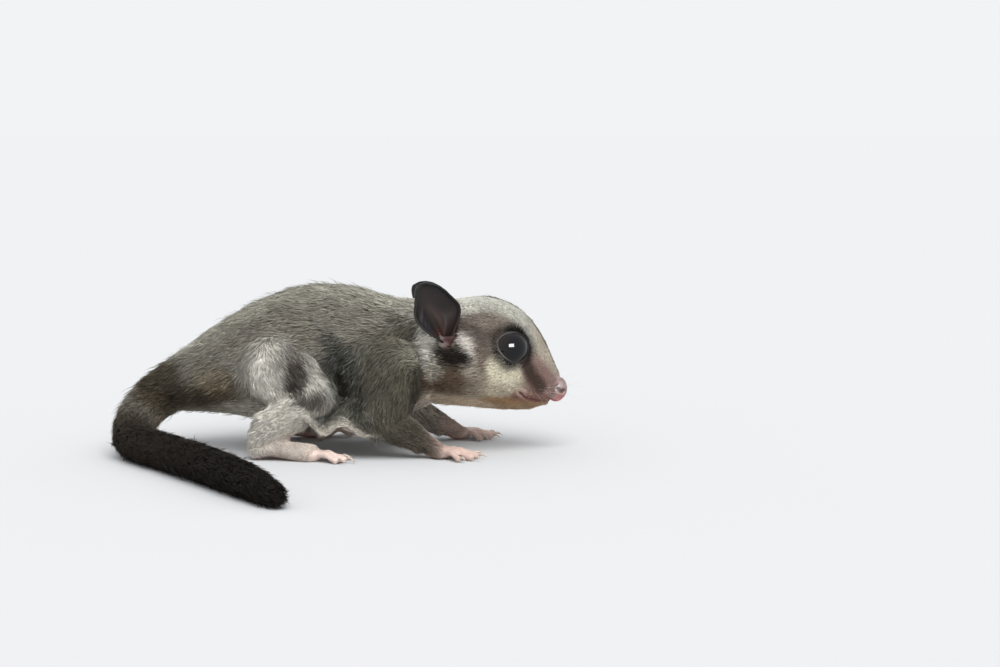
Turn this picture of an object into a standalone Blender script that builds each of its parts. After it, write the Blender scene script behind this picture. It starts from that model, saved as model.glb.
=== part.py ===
"""A sugar glider joey, life size, crouching on its four feet with its tail laid along the ground.

It faces +X, its left side is +Y, and the ground is z = 0. The body is modelled whole, in lofted
masses fused into one skin, and is then parted into named pieces by cuts of 0.3 mm.
"""

import math

import bmesh
import bpy
import numpy as np
from mathutils import Matrix, Vector

MM = 0.001  # every size below is in millimetres
GAP = 0.3  # clearance between neighbouring pieces
SIDES = {"right": -1, "left": 1}  # the sign of y on each side of the body

# Trunk and head, as upright slices: x, top, bottom, half width
TRUNK = [
    (-46.0, 14.6, 9.0, 2.6),
    (-42.0, 18.0, 8.6, 4.4),
    (-36.0, 22.5, 8.4, 7.0),
    (-28.0, 28.1, 8.0, 10.2),
    (-19.0, 33.0, 6.6, 12.6),
    (-9.0, 36.1, 5.4, 13.8),
    (1.0, 35.7, 5.2, 13.2),
    (8.0, 33.9, 6.2, 11.6),
    (14.0, 33.0, 8.4, 9.6),
    (20.0, 33.0, 10.4, 9.4),
]
SKULL = [
    (14.0, 32.0, 11.0, 7.6),
    (19.0, 33.0, 9.8, 9.4),
    (24.0, 33.7, 9.5, 10.4),
    (29.0, 33.9, 9.0, 10.6),
    (33.0, 32.8, 8.7, 9.6),
    (36.5, 31.1, 8.6, 8.0),
    (39.5, 28.4, 8.8, 6.0),
    (42.0, 24.6, 9.6, 4.5),
    (44.0, 20.2, 10.6, 3.3),
    (45.6, 16.5, 11.6, 2.1),
]
WIDEST = 0.44  # share of a slice's height where it is widest

# Eyes
EYE = (34.5, 6.6, 22.9)
EYE_RADIUS = 4.1
EYE_FORWARD = 28  # degrees that the eye turns forward from straight out to the side
EYE_UP = 8
LID = 0.8  # how far the lids stand over the eyeball
LID_OPENING = (3.7, 3.05)  # half the length and half the height of the opening
LID_SPREAD = (0.83, 1.9)  # the opening's size at its inner and outer ends, as shares of that
LID_REACH, LID_DEPTH = 4.6, 8.0  # how far out the opening's middle lies, and how deep it is cut

# Nose pad, mouth and jaw
NOSE = (45.0, 0.0, 13.1)
NOSE_LOBE = (2.1, 1.45, 2.6)
NOSE_SPREAD = 0.65  # each lobe's centre from the middle line
NOSE_LEAN = 18  # degrees that the lobes lean back
NOSTRIL = (46.15, 1.5, 12.6)
NOSTRIL_FACING = (1.0, 0.8, 0.0)
NOSTRIL_RADIUS, NOSTRIL_DEPTH = 0.42, 1.6
MOUTH_LINE = [(47.5, 10.5), (43.6, 10.7), (40.6, 11.0), (38.3, 11.9), (36.9, 13.2)]
JAW_SEAM = [(35.9, 11.4), (34.6, 8.8), (33.8, 5.0)]
JAW_HALF_WIDTH = 14.0  # of the cut that parts the jaw

# Ears: root, tip, which way the cup opens, and its sizes
EAR_ROOT = (21.4, 9.5, 24.9)
EAR_TIP = (15.6, 13.4, 36.9)
EAR_TIP_BACK = 2.2  # the left ear is laid back by this much
EAR_FACING = (0.42, 0.86, 0.18)
EAR_WALL = 0.7
EAR_SUNK = 2.0  # how far the cup's foot is drawn in towards the head
# Share of the ear's length, half width, depth of the cup
EAR_FORM = [
    (0.0, 1.8, 3.4),
    (0.15, 2.8, 3.6),
    (0.3, 3.9, 3.3),
    (0.45, 4.6, 2.8),
    (0.62, 4.8, 2.2),
    (0.8, 4.1, 1.5),
    (0.93, 2.5, 0.9),
    (1.0, 0.5, 0.5),
]
EAR_SPANS = 12
# The solid root of the ear: how far in and down its middle lies, and its radii
EAR_PLUG_IN, EAR_PLUG_DOWN = 3.2, 0.4
EAR_PLUG = (2.6, 2.4, 2.4)

# Limbs, for the right side, with y counted outwards
SHOULDER, ELBOW, WRIST = (10.0, 7.6, 20.0), (7.4, 12.2, 8.6), (16.6, 12.6, 3.2)
HIP, KNEE, ANKLE = (-14.0, 9.0, 19.0), (-6.6, 14.0, 14.2), (-17.4, 14.2, 5.4)
HEEL = (-18.6, 14.4, 2.6)
ARM_BULGE = (-0.6, 2.8, -5.6)  # from the shoulder to the middle of the upper arm
ARM_RADII, FOREARM_RADII = (6.4, 6.2, 4.9), (4.7, 3.7, 2.3)
THIGH_RADII, SHANK_RADII = (8.6, 7.4, 5.2), (4.8, 4.6, 3.4)
HEEL_RADIUS = 2.4
FAR_HAND_AHEAD = 3.5  # the left hand is set this much further forward
HAND_HEADING = {"right": -8, "left": 12}  # degrees from +X, turning to +Y
FOOT_HEADING = {"right": -10, "left": 12}

# Hands and feet. Each digit is the degrees that it spreads outwards, its length, and a toe's radius
PALM_AHEAD = 3.4  # from the wrist to the palm's middle
PALM, PALM_HEIGHT = (3.0, 2.5, 1.5), 1.4
HAND_DIGITS = [(-46, 4.0), (-21, 5.3), (-1, 5.8), (19, 5.6), (42, 4.5)]
FOOT_LENGTH = 12.6  # from the ankle to where the toes part
PAD, PAD_HEIGHT = (3.1, 2.6, 1.4), 1.3
SOLE_FLATNESS = 0.82
TOES = [(-9.0, 4.2, 0.66), (-1.5, 4.6, 0.66), (11.0, 5.9, 0.82), (25.0, 5.2, 0.82)]
FIRST_TOE = (-74.0, 4.0, 0.95)
DIGIT_RADIUS = 0.78
DIGIT_RISE = [(0.0, 1.5, 1.0), (0.45, 1.75, 0.9), (0.8, 0.95, 0.95), (1.0, 0.75, 1.1)]
CLAW_LENGTH, CLAW_RADIUS, CLAW_ROOT = 1.7, 0.36, 0.95
CLAW_FALL = [(0.5, 1.15, 0.8), (0.8, 0.85, 0.5), (1.0, 0.4, 0.22)]

# Gliding membrane, along its length on the right side: x, top, bottom, y of top, y of bottom
MEMBRANE = [
    (-12.5, 12.5, 7.6, 13.0, 16.4),
    (-8.5, 13.4, 8.8, 13.6, 17.6),
    (-4.5, 14.0, 5.2, 12.4, 15.6),
    (-0.5, 14.0, 7.4, 12.0, 16.0),
    (3.5, 13.2, 5.0, 12.2, 15.6),
    (6.8, 11.4, 5.6, 12.8, 15.6),
]
MEMBRANE_HALF = 0.75  # half its thickness
# Share of the way down the membrane, and its thickness there as a share
MEMBRANE_EDGE = [(0.0, 0.8), (0.35, 1.0), (0.7, 1.0), (1.0, 0.7), (1.06, 0.0)]

# Tail: x, y, z, radius, from the rump to the tip
TAIL = [
    (-37.0, 0.0, 14.6, 6.0),
    (-42.5, -1.0, 11.2, 5.2),
    (-45.8, -5.4, 7.0, 4.5),
    (-45.4, -12.4, 4.2, 4.15),
    (-41.0, -20.4, 3.85, 4.05),
    (-34.6, -29.0, 3.8, 4.0),
    (-28.0, -38.6, 3.75, 3.95),
    (-21.4, -48.4, 3.6, 3.8),
    (-15.0, -58.4, 3.3, 3.5),
    (-9.4, -67.0, 2.6, 2.6),
]
TAIL_SEAMS = [0.08, 0.31, 0.54, 0.77]  # shares of its length

# Seams of the trunk: a point, and the way the seam faces. Each is a round cut of the radius below
NECK_SEAM = ((12.4, 0.0, 20.0), (0.99, 0.0, 0.13))
HEAD_SEAM = ((18.6, 0.0, 20.0), (0.98, 0.0, 0.2))

# Seams of the limbs: an egg round each, given as centre and radii, parts it from the trunk
ARM_EGG = ((9.0, 13.0, 11.0), (11.6, 7.5, 17.0))
LEG_EGG = ((-12.5, 14.0, 12.0), (13.5, 8.5, 17.5))
TRUNK_CUT, TAIL_CUT, ELBOW_CUT, WRIST_CUT, KNEE_CUT, ANKLE_CUT = 30.0, 9.0, 11.0, 4.5, 20.0, 9.5
ANKLE_SEAM_AHEAD = 2.4
ANKLE_SEAM_FACING = (-0.15, 0.0, 1.0)

# A place inside each piece, by which it is known once the cuts are made
PALM_PLACE, SOLE_PLACE = (3.4, 0.0, -1.9), (5.0, 0.0, -3.2)  # from the wrist and from the ankle
TRUNK_PLACE = (0.0, 0.0, 20.0)
TRUNK_PLACES = {"torso": (-12.0, 0.0, 20.0), "neck": (15.5, 0.0, 21.0), "head": (31.0, 0.0, 20.0)}
HEAD_PLACES = {"head": (31.0, 0.0, 22.0), "lower_jaw": (38.0, 0.0, 9.5)}

# Grain of the grids that fuse the masses, and how far ears and membranes are cut clear of the flesh
BODY_GRAIN, SWOLLEN_GRAIN, PAW_GRAIN, EAR_GRAIN, MEMBRANE_GRAIN, NOSE_GRAIN = 0.45, 0.6, 0.22, 0.24, 0.3, 0.2
CLEARANCE = GAP + 0.12

# Triangles kept in each skin
BODY_TRIANGLES = 5200
SWOLLEN_TRIANGLES = 5000
HAND_TRIANGLES = 340
FOOT_TRIANGLES = 400
EAR_TRIANGLES = 560
NOSE_TRIANGLES = 200
CLAW_TRIANGLES = 18
MEMBRANE_TRIANGLES = 260

# The plane that the animal rests on takes off whatever is below it, which leaves small flats
GROUND = 0.0
GROUND_RADIUS, GROUND_DEPTH = 200.0, 20.0

SMOOTH_UP_TO = 35  # degrees between faces that are shaded as one curve

# Colour and roughness of each material, and the nodes that have it
FINISHES = [
    ("grey_brown_fur", (0.26, 0.24, 0.2), 0.9, ["torso", "neck", "_upper_arm", "_forearm", "_thigh"]),
    ("face_fur", (0.55, 0.52, 0.44), 0.9, ["head", "lower_jaw"]),
    ("pale_fur", (0.62, 0.59, 0.52), 0.9, ["_shank", "_gliding_membrane"]),
    ("dark_tail_fur", (0.06, 0.05, 0.045), 0.9, ["tail_"]),
    ("bare_pink_skin", (0.72, 0.5, 0.44), 0.6, ["_hand", "_foot", "nose"]),
    ("dark_ear_skin", (0.05, 0.035, 0.03), 0.5, ["_ear"]),
    ("wet_black_eye", (0.006, 0.005, 0.006), 0.04, ["_eye"]),
]


def vector(numbers):
    return Vector(numbers) * MM


def mirrored(point, sign):
    """A point of a limb or of the head, given for y outwards, on the side with this sign."""
    return (point[0], point[1] * sign, *point[2:])


def through(rows, steps):
    """The rows read again, this many times a span, on one smooth curve through them."""
    rows = np.array(rows, float)
    padded = np.vstack([2 * rows[0] - rows[1], rows, 2 * rows[-1] - rows[-2]])
    read = []
    for i in range(len(rows) - 1):
        a, b, c, d = padded[i : i + 4]
        for t in np.arange(steps) / steps:
            bend = (2 * a - 5 * b + 4 * c - d) * t**2 + (3 * b - a - 3 * c + d) * t**3
            read.append(b + 0.5 * ((c - a) * t + bend))
    return [*read, rows[-1]]


def new_object(name, bm):
    bmesh.ops.recalc_face_normals(bm, faces=bm.faces)
    mesh = bpy.data.meshes.new(name)
    bm.to_mesh(mesh)
    bm.free()
    obj = bpy.data.objects.new(name, mesh)
    bpy.context.scene.collection.objects.link(obj)
    return obj


def ringed(name, rings, poles):
    """A closed skin over rings of points, closed to a pole at each end. All in millimetres."""
    bm = bmesh.new()
    loops = [[bm.verts.new(vector(p)) for p in ring] for ring in rings]
    for one, two in zip(loops, loops[1:]):
        for i in range(len(one)):
            j = (i + 1) % len(one)
            bm.faces.new((one[i], one[j], two[j], two[i]))
    for loop, pole in ((loops[0], poles[0]), (loops[-1], poles[1])):
        tip = bm.verts.new(vector(pole))
        for i in range(len(loop)):
            bm.faces.new((loop[i], loop[(i + 1) % len(loop)], tip))
    return new_object(name, bm)


def sliced(name, rows, sides=32):
    """A loft through upright slices: x, top, bottom, half width."""
    rings = []
    for x, top, bottom, half in through(rows, 4):
        middle = bottom + WIDEST * (top - bottom)
        ring = []
        for k in range(sides):
            turn = 2 * math.pi * k / sides
            reach = top - middle if math.sin(turn) > 0 else middle - bottom
            ring.append((x, half * math.cos(turn), middle + reach * math.sin(turn)))
        rings.append(ring)
    poles = [np.mean(ring, axis=0) for ring in (rings[0], rings[-1])]
    return ringed(name, rings, poles)


def tube(name, rows, sides=20, flat=1.0):
    """A tube with round ends through rows of x, y, z, radius. flat is its height over its width."""
    rows = through(rows, 4)
    rings, ends = [], []
    for i, row in enumerate(rows):
        ahead = Vector(rows[min(i + 1, len(rows) - 1)][:3] - rows[max(i - 1, 0)][:3]).normalized()
        across = ahead.cross((0, 0, 1)).normalized()
        up = across.cross(ahead)
        centre, radius = Vector(row[:3]), row[3]

        def ring(along, share):
            turns = [2 * math.pi * k / sides for k in range(sides)]
            return [
                centre
                + ahead * along
                + (across * math.cos(t) + up * math.sin(t) * flat) * radius * share
                for t in turns
            ]

        cap = [math.radians(a) for a in (70, 45, 20)]
        if i == 0:
            rings += [ring(-radius * math.sin(a), math.cos(a)) for a in cap]
            ends.append(centre - ahead * radius)
        rings.append(ring(0, 1))
        if i == len(rows) - 1:
            rings += [ring(radius * math.sin(a), math.cos(a)) for a in reversed(cap)]
            ends.append(centre + ahead * radius)
    return ringed(name, rings, ends)


def ball(name, centre, radii, turn=None, segments=32):
    bm = bmesh.new()
    place = Matrix.Translation(vector(centre)) @ (turn or Matrix()) @ Matrix.Diagonal((*vector(radii), 1))
    bmesh.ops.create_uvsphere(bm, u_segments=segments, v_segments=segments // 2, radius=1, matrix=place)
    return new_object(name, bm)


def facing(direction):
    """The turn that takes +Z to this direction."""
    return Vector(direction).to_track_quat("Z", "Y").to_matrix().to_4x4()


def drum(name, centre, direction, radius, depth, top_radius=None, sides=32):
    """A round plug about its centre, along a direction."""
    bm = bmesh.new()
    bmesh.ops.create_cone(
        bm,
        cap_ends=True,
        segments=sides,
        radius1=radius * MM,
        radius2=(radius if top_radius is None else top_radius) * MM,
        depth=depth * MM,
        matrix=Matrix.Translation(vector(centre)) @ facing(direction),
    )
    return new_object(name, bm)


def apply_modifiers(obj):
    graph = bpy.context.evaluated_depsgraph_get()
    obj.data = bpy.data.meshes.new_from_object(obj.evaluated_get(graph))
    obj.modifiers.clear()
    return obj


def joined(name, pieces):
    """One object that holds copies of the pieces' meshes, which are then removed."""
    bm = bmesh.new()
    for piece in pieces:
        bm.from_mesh(piece.data)
        bpy.data.objects.remove(piece)
    return new_object(name, bm)


def fused(name, pieces, voxel, passes, swell=0.0):
    """The pieces grown into one smooth skin. swell moves it outwards."""
    obj = joined(name, pieces)
    remesh = obj.modifiers.new("Skin", "REMESH")
    remesh.mode = "VOXEL"
    remesh.voxel_size = voxel * MM
    smooth = obj.modifiers.new("Soften", "SMOOTH")
    smooth.iterations = passes
    if swell:
        grow = obj.modifiers.new("Swell", "DISPLACE")
        grow.strength = swell * MM
        grow.mid_level = 0
    return apply_modifiers(obj)


def copied(obj, name):
    twin = obj.copy()
    twin.data = obj.data.copy()
    twin.name = name
    bpy.context.scene.collection.objects.link(twin)
    return twin


def thinned(obj, triangles):
    """The same skin in about this many triangles, finest where it curves most."""
    obj.data.calc_loop_triangles()
    thin = obj.modifiers.new("Thin", "DECIMATE")
    thin.ratio = min(1.0, triangles / len(obj.data.loop_triangles))
    return apply_modifiers(obj)


def combined(obj, others, operation):
    """The object joined with, cut by or kept within the others, which are then removed."""
    group = bpy.data.collections.new("Others")
    for other in others:
        group.objects.link(other)
    change = obj.modifiers.new("Combine", "BOOLEAN")
    change.operation = operation
    change.solver = "EXACT"
    change.operand_type = "COLLECTION"
    change.collection = group
    apply_modifiers(obj)
    for other in others:
        bpy.data.objects.remove(other)
    bpy.data.collections.remove(group)
    return obj


def limb_masses(side):
    """The leg's and arm's flesh down to the wrist and the ankle."""
    sign = SIDES[side]
    ahead = FAR_HAND_AHEAD if side == "left" else 0
    wrist = (WRIST[0] + ahead, *WRIST[1:])
    lengths = {
        "arm": ((SHOULDER, np.add(SHOULDER, ARM_BULGE), ELBOW), ARM_RADII),
        "forearm": ((ELBOW, np.add(ELBOW, wrist) / 2, wrist), FOREARM_RADII),
        "thigh": ((HIP, np.add(HIP, KNEE) / 2, KNEE), THIGH_RADII),
        "shank": ((KNEE, np.add(KNEE, ANKLE) / 2, ANKLE, HEEL), (*SHANK_RADII, HEEL_RADIUS)),
    }
    return [
        tube(name, [(*mirrored(place, sign), radius) for place, radius in zip(places, radii)])
        for name, (places, radii) in lengths.items()
    ]


def lid_masses():
    return [
        ball("lids", mirrored(EYE, sign), [EYE_RADIUS + LID] * 3) for sign in SIDES.values()
    ]


def eye_direction(sign):
    forward, up = math.radians(EYE_FORWARD), math.radians(EYE_UP)
    return Vector(
        (math.sin(forward) * math.cos(up), sign * math.cos(forward) * math.cos(up), math.sin(up))
    )


def digit(name, root, heading, length, radius):
    """A toe or finger that arches from its root to a pad on the ground."""
    along = Vector((math.cos(heading), math.sin(heading), 0))
    rows = []
    for share, height, girth in DIGIT_RISE:
        spot = root + along * length * share
        rows.append((spot.x, spot.y, height, radius * girth))
    return tube(name, rows, sides=12)


def claw(name, root, heading, length, radius):
    """A curved claw from the top of a digit's pad down to the ground."""
    along = Vector((math.cos(heading), math.sin(heading), 0))
    start = root + along * length
    start.z = CLAW_ROOT
    rows = [(*start, CLAW_RADIUS)]
    for share, height, girth in CLAW_FALL:
        spot = start + along * (radius + CLAW_LENGTH * share)
        rows.append((spot.x, spot.y, height, CLAW_RADIUS * girth))
    return thinned(tube(name, rows, sides=6), CLAW_TRIANGLES)


def paw(name, masses, digits, triangles):
    """Palm and digits fused, with the claws joined on. digits: root, heading, length, radius, clawed."""
    toes = [digit(name, root, heading, length, radius) for root, heading, length, radius, _ in digits]
    skin = thinned(fused(name, [*masses, *toes], PAW_GRAIN, 2), triangles)
    claws = [
        claw(name, root, heading, length, radius)
        for root, heading, length, radius, clawed in digits
        if clawed
    ]
    return combined(skin, claws, "UNION")


def hand(side):
    sign = SIDES[side]
    heading = math.radians(HAND_HEADING[side])
    wrist = Vector(mirrored(WRIST, sign))
    if side == "left":
        wrist.x += FAR_HAND_AHEAD
    along = Vector((math.cos(heading), math.sin(heading), 0))
    palm_centre = wrist + along * PALM_AHEAD
    palm_centre.z = PALM_HEIGHT
    cuff = tube("cuff", [(*(wrist - along * 1.6), 2.3), (*wrist, 2.2), (*palm_centre, 1.7)], sides=16)
    palm = ball("palm", palm_centre, PALM, Matrix.Rotation(heading, 4, "Z"), 20)
    digits = []
    for spread, length in HAND_DIGITS:
        turn = heading + math.radians(spread) * sign
        root = palm_centre + Vector((math.cos(turn) * 1.7, math.sin(turn) * 1.9, 0))
        digits.append((root, turn, length, DIGIT_RADIUS, True))
    return paw(side + "_hand", [cuff, palm], digits, HAND_TRIANGLES)


def foot(side):
    sign = SIDES[side]
    heading = math.radians(FOOT_HEADING[side])
    along = Vector((math.cos(heading), math.sin(heading), 0))
    inwards = Vector((math.sin(heading), -math.cos(heading), 0)) * sign
    heel, ankle = Vector(mirrored(HEEL, sign)), Vector(mirrored(ANKLE, sign))
    ball_of_foot = ankle + along * FOOT_LENGTH * 0.8
    middle = ankle + along * FOOT_LENGTH * 0.4
    sole = tube(
        "sole",
        [
            (heel.x, heel.y, 2.3, 2.2),
            (ankle.x + 2, ankle.y, 3.0, 2.9),
            (middle.x, middle.y, 2.2, 2.4),
            (ball_of_foot.x, ball_of_foot.y, 1.5, 2.6),
        ],
        flat=SOLE_FLATNESS,
    )
    cuff = tube("cuff", [(*(ankle + Vector((1.2, 0, 2.4))), 3.4), (*ankle, 3.2)], sides=16)
    pad = ball("pad", (*ball_of_foot.xy, PAD_HEIGHT), PAD, Matrix.Rotation(heading, 4, "Z"), 20)
    digits = []
    for spread, length, radius in TOES:
        turn = heading + math.radians(spread) * sign
        root = ball_of_foot + Vector((math.cos(turn) * 1.9, math.sin(turn) * 2.2, 0))
        if radius < DIGIT_RADIUS:
            root += inwards * 0.9
        digits.append((root, turn, length, radius, True))
    spread, length, radius = FIRST_TOE
    root = middle.lerp(ball_of_foot, 0.55) + inwards * 1.6
    digits.append((root, heading + math.radians(spread) * sign, length, radius, False))
    return paw(side + "_foot", [sole, cuff, pad], digits, FOOT_TRIANGLES)


def ear(side, swollen_body):
    """A thin cup, curled into a funnel at its root, with a solid root sunk against the head."""
    sign = SIDES[side]
    root, tip = Vector(mirrored(EAR_ROOT, sign)), Vector(mirrored(EAR_TIP, sign))
    if side == "left":
        tip += Vector((-EAR_TIP_BACK, 0, -EAR_TIP_BACK))
    axis = tip - root
    length = axis.length
    axis.normalize()
    out = Vector(mirrored(EAR_FACING, sign))
    out = (out - axis * out.dot(axis)).normalized()
    across = axis.cross(out)
    bm = bmesh.new()
    grid = []
    for share, half, depth in through(EAR_FORM, 3):
        row = []
        for j in range(EAR_SPANS + 1):
            aside = 2 * j / EAR_SPANS - 1
            spot = root + axis * (length * share) + across * (half * aside)
            sunk = EAR_SUNK * max(0.0, 1 - share / 0.3) ** 2
            spot += out * (depth * (aside**2 - 0.6) - sunk)
            row.append(bm.verts.new(spot * MM))
        grid.append(row)
    for one, two in zip(grid, grid[1:]):
        for j in range(EAR_SPANS):
            bm.faces.new((one[j], one[j + 1], two[j + 1], two[j]))
    cup = new_object(side + "_cup", bm)
    wall = cup.modifiers.new("Wall", "SOLIDIFY")
    wall.thickness = EAR_WALL * MM
    wall.offset = 0
    apply_modifiers(cup)
    middle = root - out * EAR_PLUG_IN - axis * EAR_PLUG_DOWN
    plug = ball("plug", middle, EAR_PLUG, facing(out), 20)
    skin = thinned(fused(side + "_ear", [cup, plug], EAR_GRAIN, 2), EAR_TRIANGLES)
    return combined(skin, [copied(swollen_body, "body")], "DIFFERENCE")


def membrane(side, swollen_body):
    """The gliding membrane, gathered in folds along the flank, with a scalloped free edge."""
    sign = SIDES[side]
    rows = through(MEMBRANE, 5)
    rings = []
    for x, top, bottom, y_top, y_bottom in rows:
        ring = []
        for share, thick in MEMBRANE_EDGE:
            y = y_top + (y_bottom - y_top) * share**1.4
            z = top + (bottom - top) * share
            ring.append((x, (y + MEMBRANE_HALF * thick) * sign, z))
            if thick:
                ring.insert(0, (x, (y - MEMBRANE_HALF * thick) * sign, z))
        rings.append(ring)
    poles = [np.mean(ring, axis=0) for ring in (rings[0], rings[-1])]
    sheet = ringed(side + "_membrane", rings, poles)
    skin = thinned(fused(side + "_gliding_membrane", [sheet], MEMBRANE_GRAIN, 1), MEMBRANE_TRIANGLES)
    return combined(skin, [copied(swollen_body, "body")], "DIFFERENCE")


def nose(swell=0.0):
    """The nose pad's two lobes, fused. swell makes them larger, for the pocket that they sit in."""
    radii = [radius + swell for radius in NOSE_LOBE]
    lean = Matrix.Rotation(math.radians(NOSE_LEAN), 4, "Y")
    lobes = []
    for sign in SIDES.values():
        lobes.append(ball("lobe", mirrored((NOSE[0], NOSE_SPREAD, NOSE[2]), sign), radii, lean, 20))
    return thinned(fused("nose", lobes, NOSE_GRAIN, 2), NOSE_TRIANGLES)


def bent_sheet(name, line, half_width):
    """A sheet of the gap's thickness across the body, along a line given as x and z."""
    line = [Vector((x, 0, z)) for x, z in line]
    bm = bmesh.new()
    loops = []
    for i, spot in enumerate(line):
        ahead = (line[min(i + 1, len(line) - 1)] - line[max(i - 1, 0)]).normalized()
        above = Vector((-ahead.z, 0, ahead.x)) * GAP / 2
        across = Vector((0, half_width, 0))
        corners = (spot + above - across, spot + above + across, spot - above + across, spot - above - across)
        loops.append([bm.verts.new(corner * MM) for corner in corners])
    for one, two in zip(loops, loops[1:]):
        for i in range(4):
            j = (i + 1) % 4
            bm.faces.new((one[i], one[j], two[j], two[i]))
    bm.faces.new(loops[0])
    bm.faces.new(loops[-1])
    return new_object(name, bm)


def shell(name, centre, radii, turn=None):
    """An egg-shaped cut of the gap's thickness."""
    outer = ball(name, centre, [r + GAP for r in radii], turn, 20)
    inner = ball(name, centre, radii, turn, 20)
    inner.data.flip_normals()
    bm = bmesh.new()
    for piece in (outer, inner):
        bm.from_mesh(piece.data)
        bpy.data.objects.remove(piece)
    mesh = bpy.data.meshes.new(name)
    bm.to_mesh(mesh)
    bm.free()
    obj = bpy.data.objects.new(name, mesh)
    bpy.context.scene.collection.objects.link(obj)
    return obj


def loose_pieces(obj):
    """The object's closed surfaces, each an object of its own, the largest first."""
    bm = bmesh.new()
    bm.from_mesh(obj.data)
    bmesh.ops.remove_doubles(bm, verts=bm.verts, dist=1e-7)
    unseen = set(bm.faces)
    found = []
    while unseen:
        group = [unseen.pop()]
        for face in group:
            for edge in face.edges:
                near = [other for other in edge.link_faces if other in unseen]
                group += near
                unseen.difference_update(near)
        found.append({face.index for face in group})
    pieces = []
    for kept in found:
        part = bm.copy()
        part.faces.ensure_lookup_table()
        spare = [face for face in part.faces if face.index not in kept]
        bmesh.ops.delete(part, geom=spare, context="FACES")
        volume = part.calc_volume()
        pieces.append((volume, new_object(obj.name, part)))
    bm.free()
    bpy.data.objects.remove(obj)
    return [piece for volume, piece in sorted(pieces, key=lambda pair: -pair[0])]


def largest(obj):
    name = obj.name
    whole, *scraps = loose_pieces(obj)
    for scrap in scraps:
        bpy.data.objects.remove(scrap)
    whole.name = name
    return whole


def holds(piece, place):
    """Whether the place, in millimetres, is inside the piece."""
    found, spot, normal, index = piece.closest_point_on_mesh(vector(place))
    return (vector(place) - spot).dot(normal) < 0


def parted(obj, cutters, places):
    """What the cutters leave, each piece named for the place that it holds. Scraps go."""
    named = {}
    for piece in loose_pieces(combined(obj, cutters, "DIFFERENCE")):
        names = [name for name in places if name not in named and holds(piece, places[name])]
        if not names:
            bpy.data.objects.remove(piece)
            continue
        piece.name = names[0]
        named[names[0]] = piece
    return named


def mitre(name, before, joint, after, radius):
    """A thin round cut through a bent limb's joint, half way between its two lengths."""
    before, joint, after = Vector(before), Vector(joint), Vector(after)
    facing_way = (joint - before).normalized() + (after - joint).normalized()
    return drum(name, joint, facing_way, radius, GAP)


def along_tail(share):
    """The point of the tail's middle line at this share of its length."""
    run = np.array(through(TAIL, 8))[:, :3]
    reach = np.concatenate([[0], np.cumsum(np.linalg.norm(np.diff(run, axis=0), axis=1))])
    return Vector([np.interp(share * reach[-1], reach, run[:, k]) for k in range(3)])


# The scene starts empty
for leftover in list(bpy.data.objects):
    bpy.data.objects.remove(leftover)

# Flesh: trunk, head, limbs and tail grown into one skin
masses = [sliced("trunk", TRUNK), sliced("skull", SKULL), tube("tail", TAIL), *lid_masses()]
for side in SIDES:
    masses += limb_masses(side)
body = fused("body", masses, BODY_GRAIN, 5)
swollen = fused("swollen", [copied(body, "swollen")], SWOLLEN_GRAIN, 2, swell=CLEARANCE)
swollen = thinned(swollen, SWOLLEN_TRIANGLES)
body = thinned(body, BODY_TRIANGLES)

# Ears and gliding membranes, cut clear of the flesh
parts = {}
for side in SIDES:
    parts[side + "_ear"] = largest(ear(side, swollen))
    parts[side + "_gliding_membrane"] = largest(membrane(side, swollen))
bpy.data.objects.remove(swollen)

# Limbs, parted from the trunk and at their joints
eggs = []
for side, sign in SIDES.items():
    ahead = Vector((FAR_HAND_AHEAD / 2 if side == "left" else 0, 0, 0))
    eggs.append(shell("arm_egg", Vector(mirrored(ARM_EGG[0], sign)) + ahead, ARM_EGG[1]))
    eggs.append(shell("leg_egg", mirrored(LEG_EGG[0], sign), LEG_EGG[1]))
places = {"trunk": TRUNK_PLACE}
for side, sign in SIDES.items():
    places[side + "_arm"] = mirrored(ELBOW, sign)
    places[side + "_leg"] = mirrored(KNEE, sign)
flesh = parted(body, eggs, places)
for side, sign in SIDES.items():
    wrist = Vector(mirrored(WRIST, sign))
    if side == "left":
        wrist.x += FAR_HAND_AHEAD
    shoulder, elbow = Vector(mirrored(SHOULDER, sign)), Vector(mirrored(ELBOW, sign))
    paw_of_arm = hand(side)
    arm = combined(flesh[side + "_arm"], [paw_of_arm], "UNION")
    cuts = [mitre("elbow", shoulder, elbow, wrist, ELBOW_CUT)]
    cuts.append(drum("wrist", wrist, wrist - elbow, WRIST_CUT, GAP))
    palm = wrist + Vector(PALM_PLACE)
    names = {"_upper_arm": shoulder, "_forearm": elbow.lerp(wrist, 0.5), "_hand": palm}
    parts.update(parted(arm, cuts, {side + name: spot for name, spot in names.items()}))

    hip, knee = Vector(mirrored(HIP, sign)), Vector(mirrored(KNEE, sign))
    ankle = Vector(mirrored(ANKLE, sign))
    leg = combined(flesh[side + "_leg"], [foot(side)], "UNION")
    seam = ankle + Vector((ANKLE_SEAM_AHEAD, 0, 0))
    cuts = [mitre("knee", hip, knee, ankle, KNEE_CUT)]
    cuts.append(drum("ankle", seam, ANKLE_SEAM_FACING, ANKLE_CUT, GAP))
    sole = ankle + Vector(SOLE_PLACE)
    names = {"_thigh": hip, "_shank": knee.lerp(ankle, 0.5), "_foot": sole}
    parts.update(parted(leg, cuts, {side + name: spot for name, spot in names.items()}))

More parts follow.
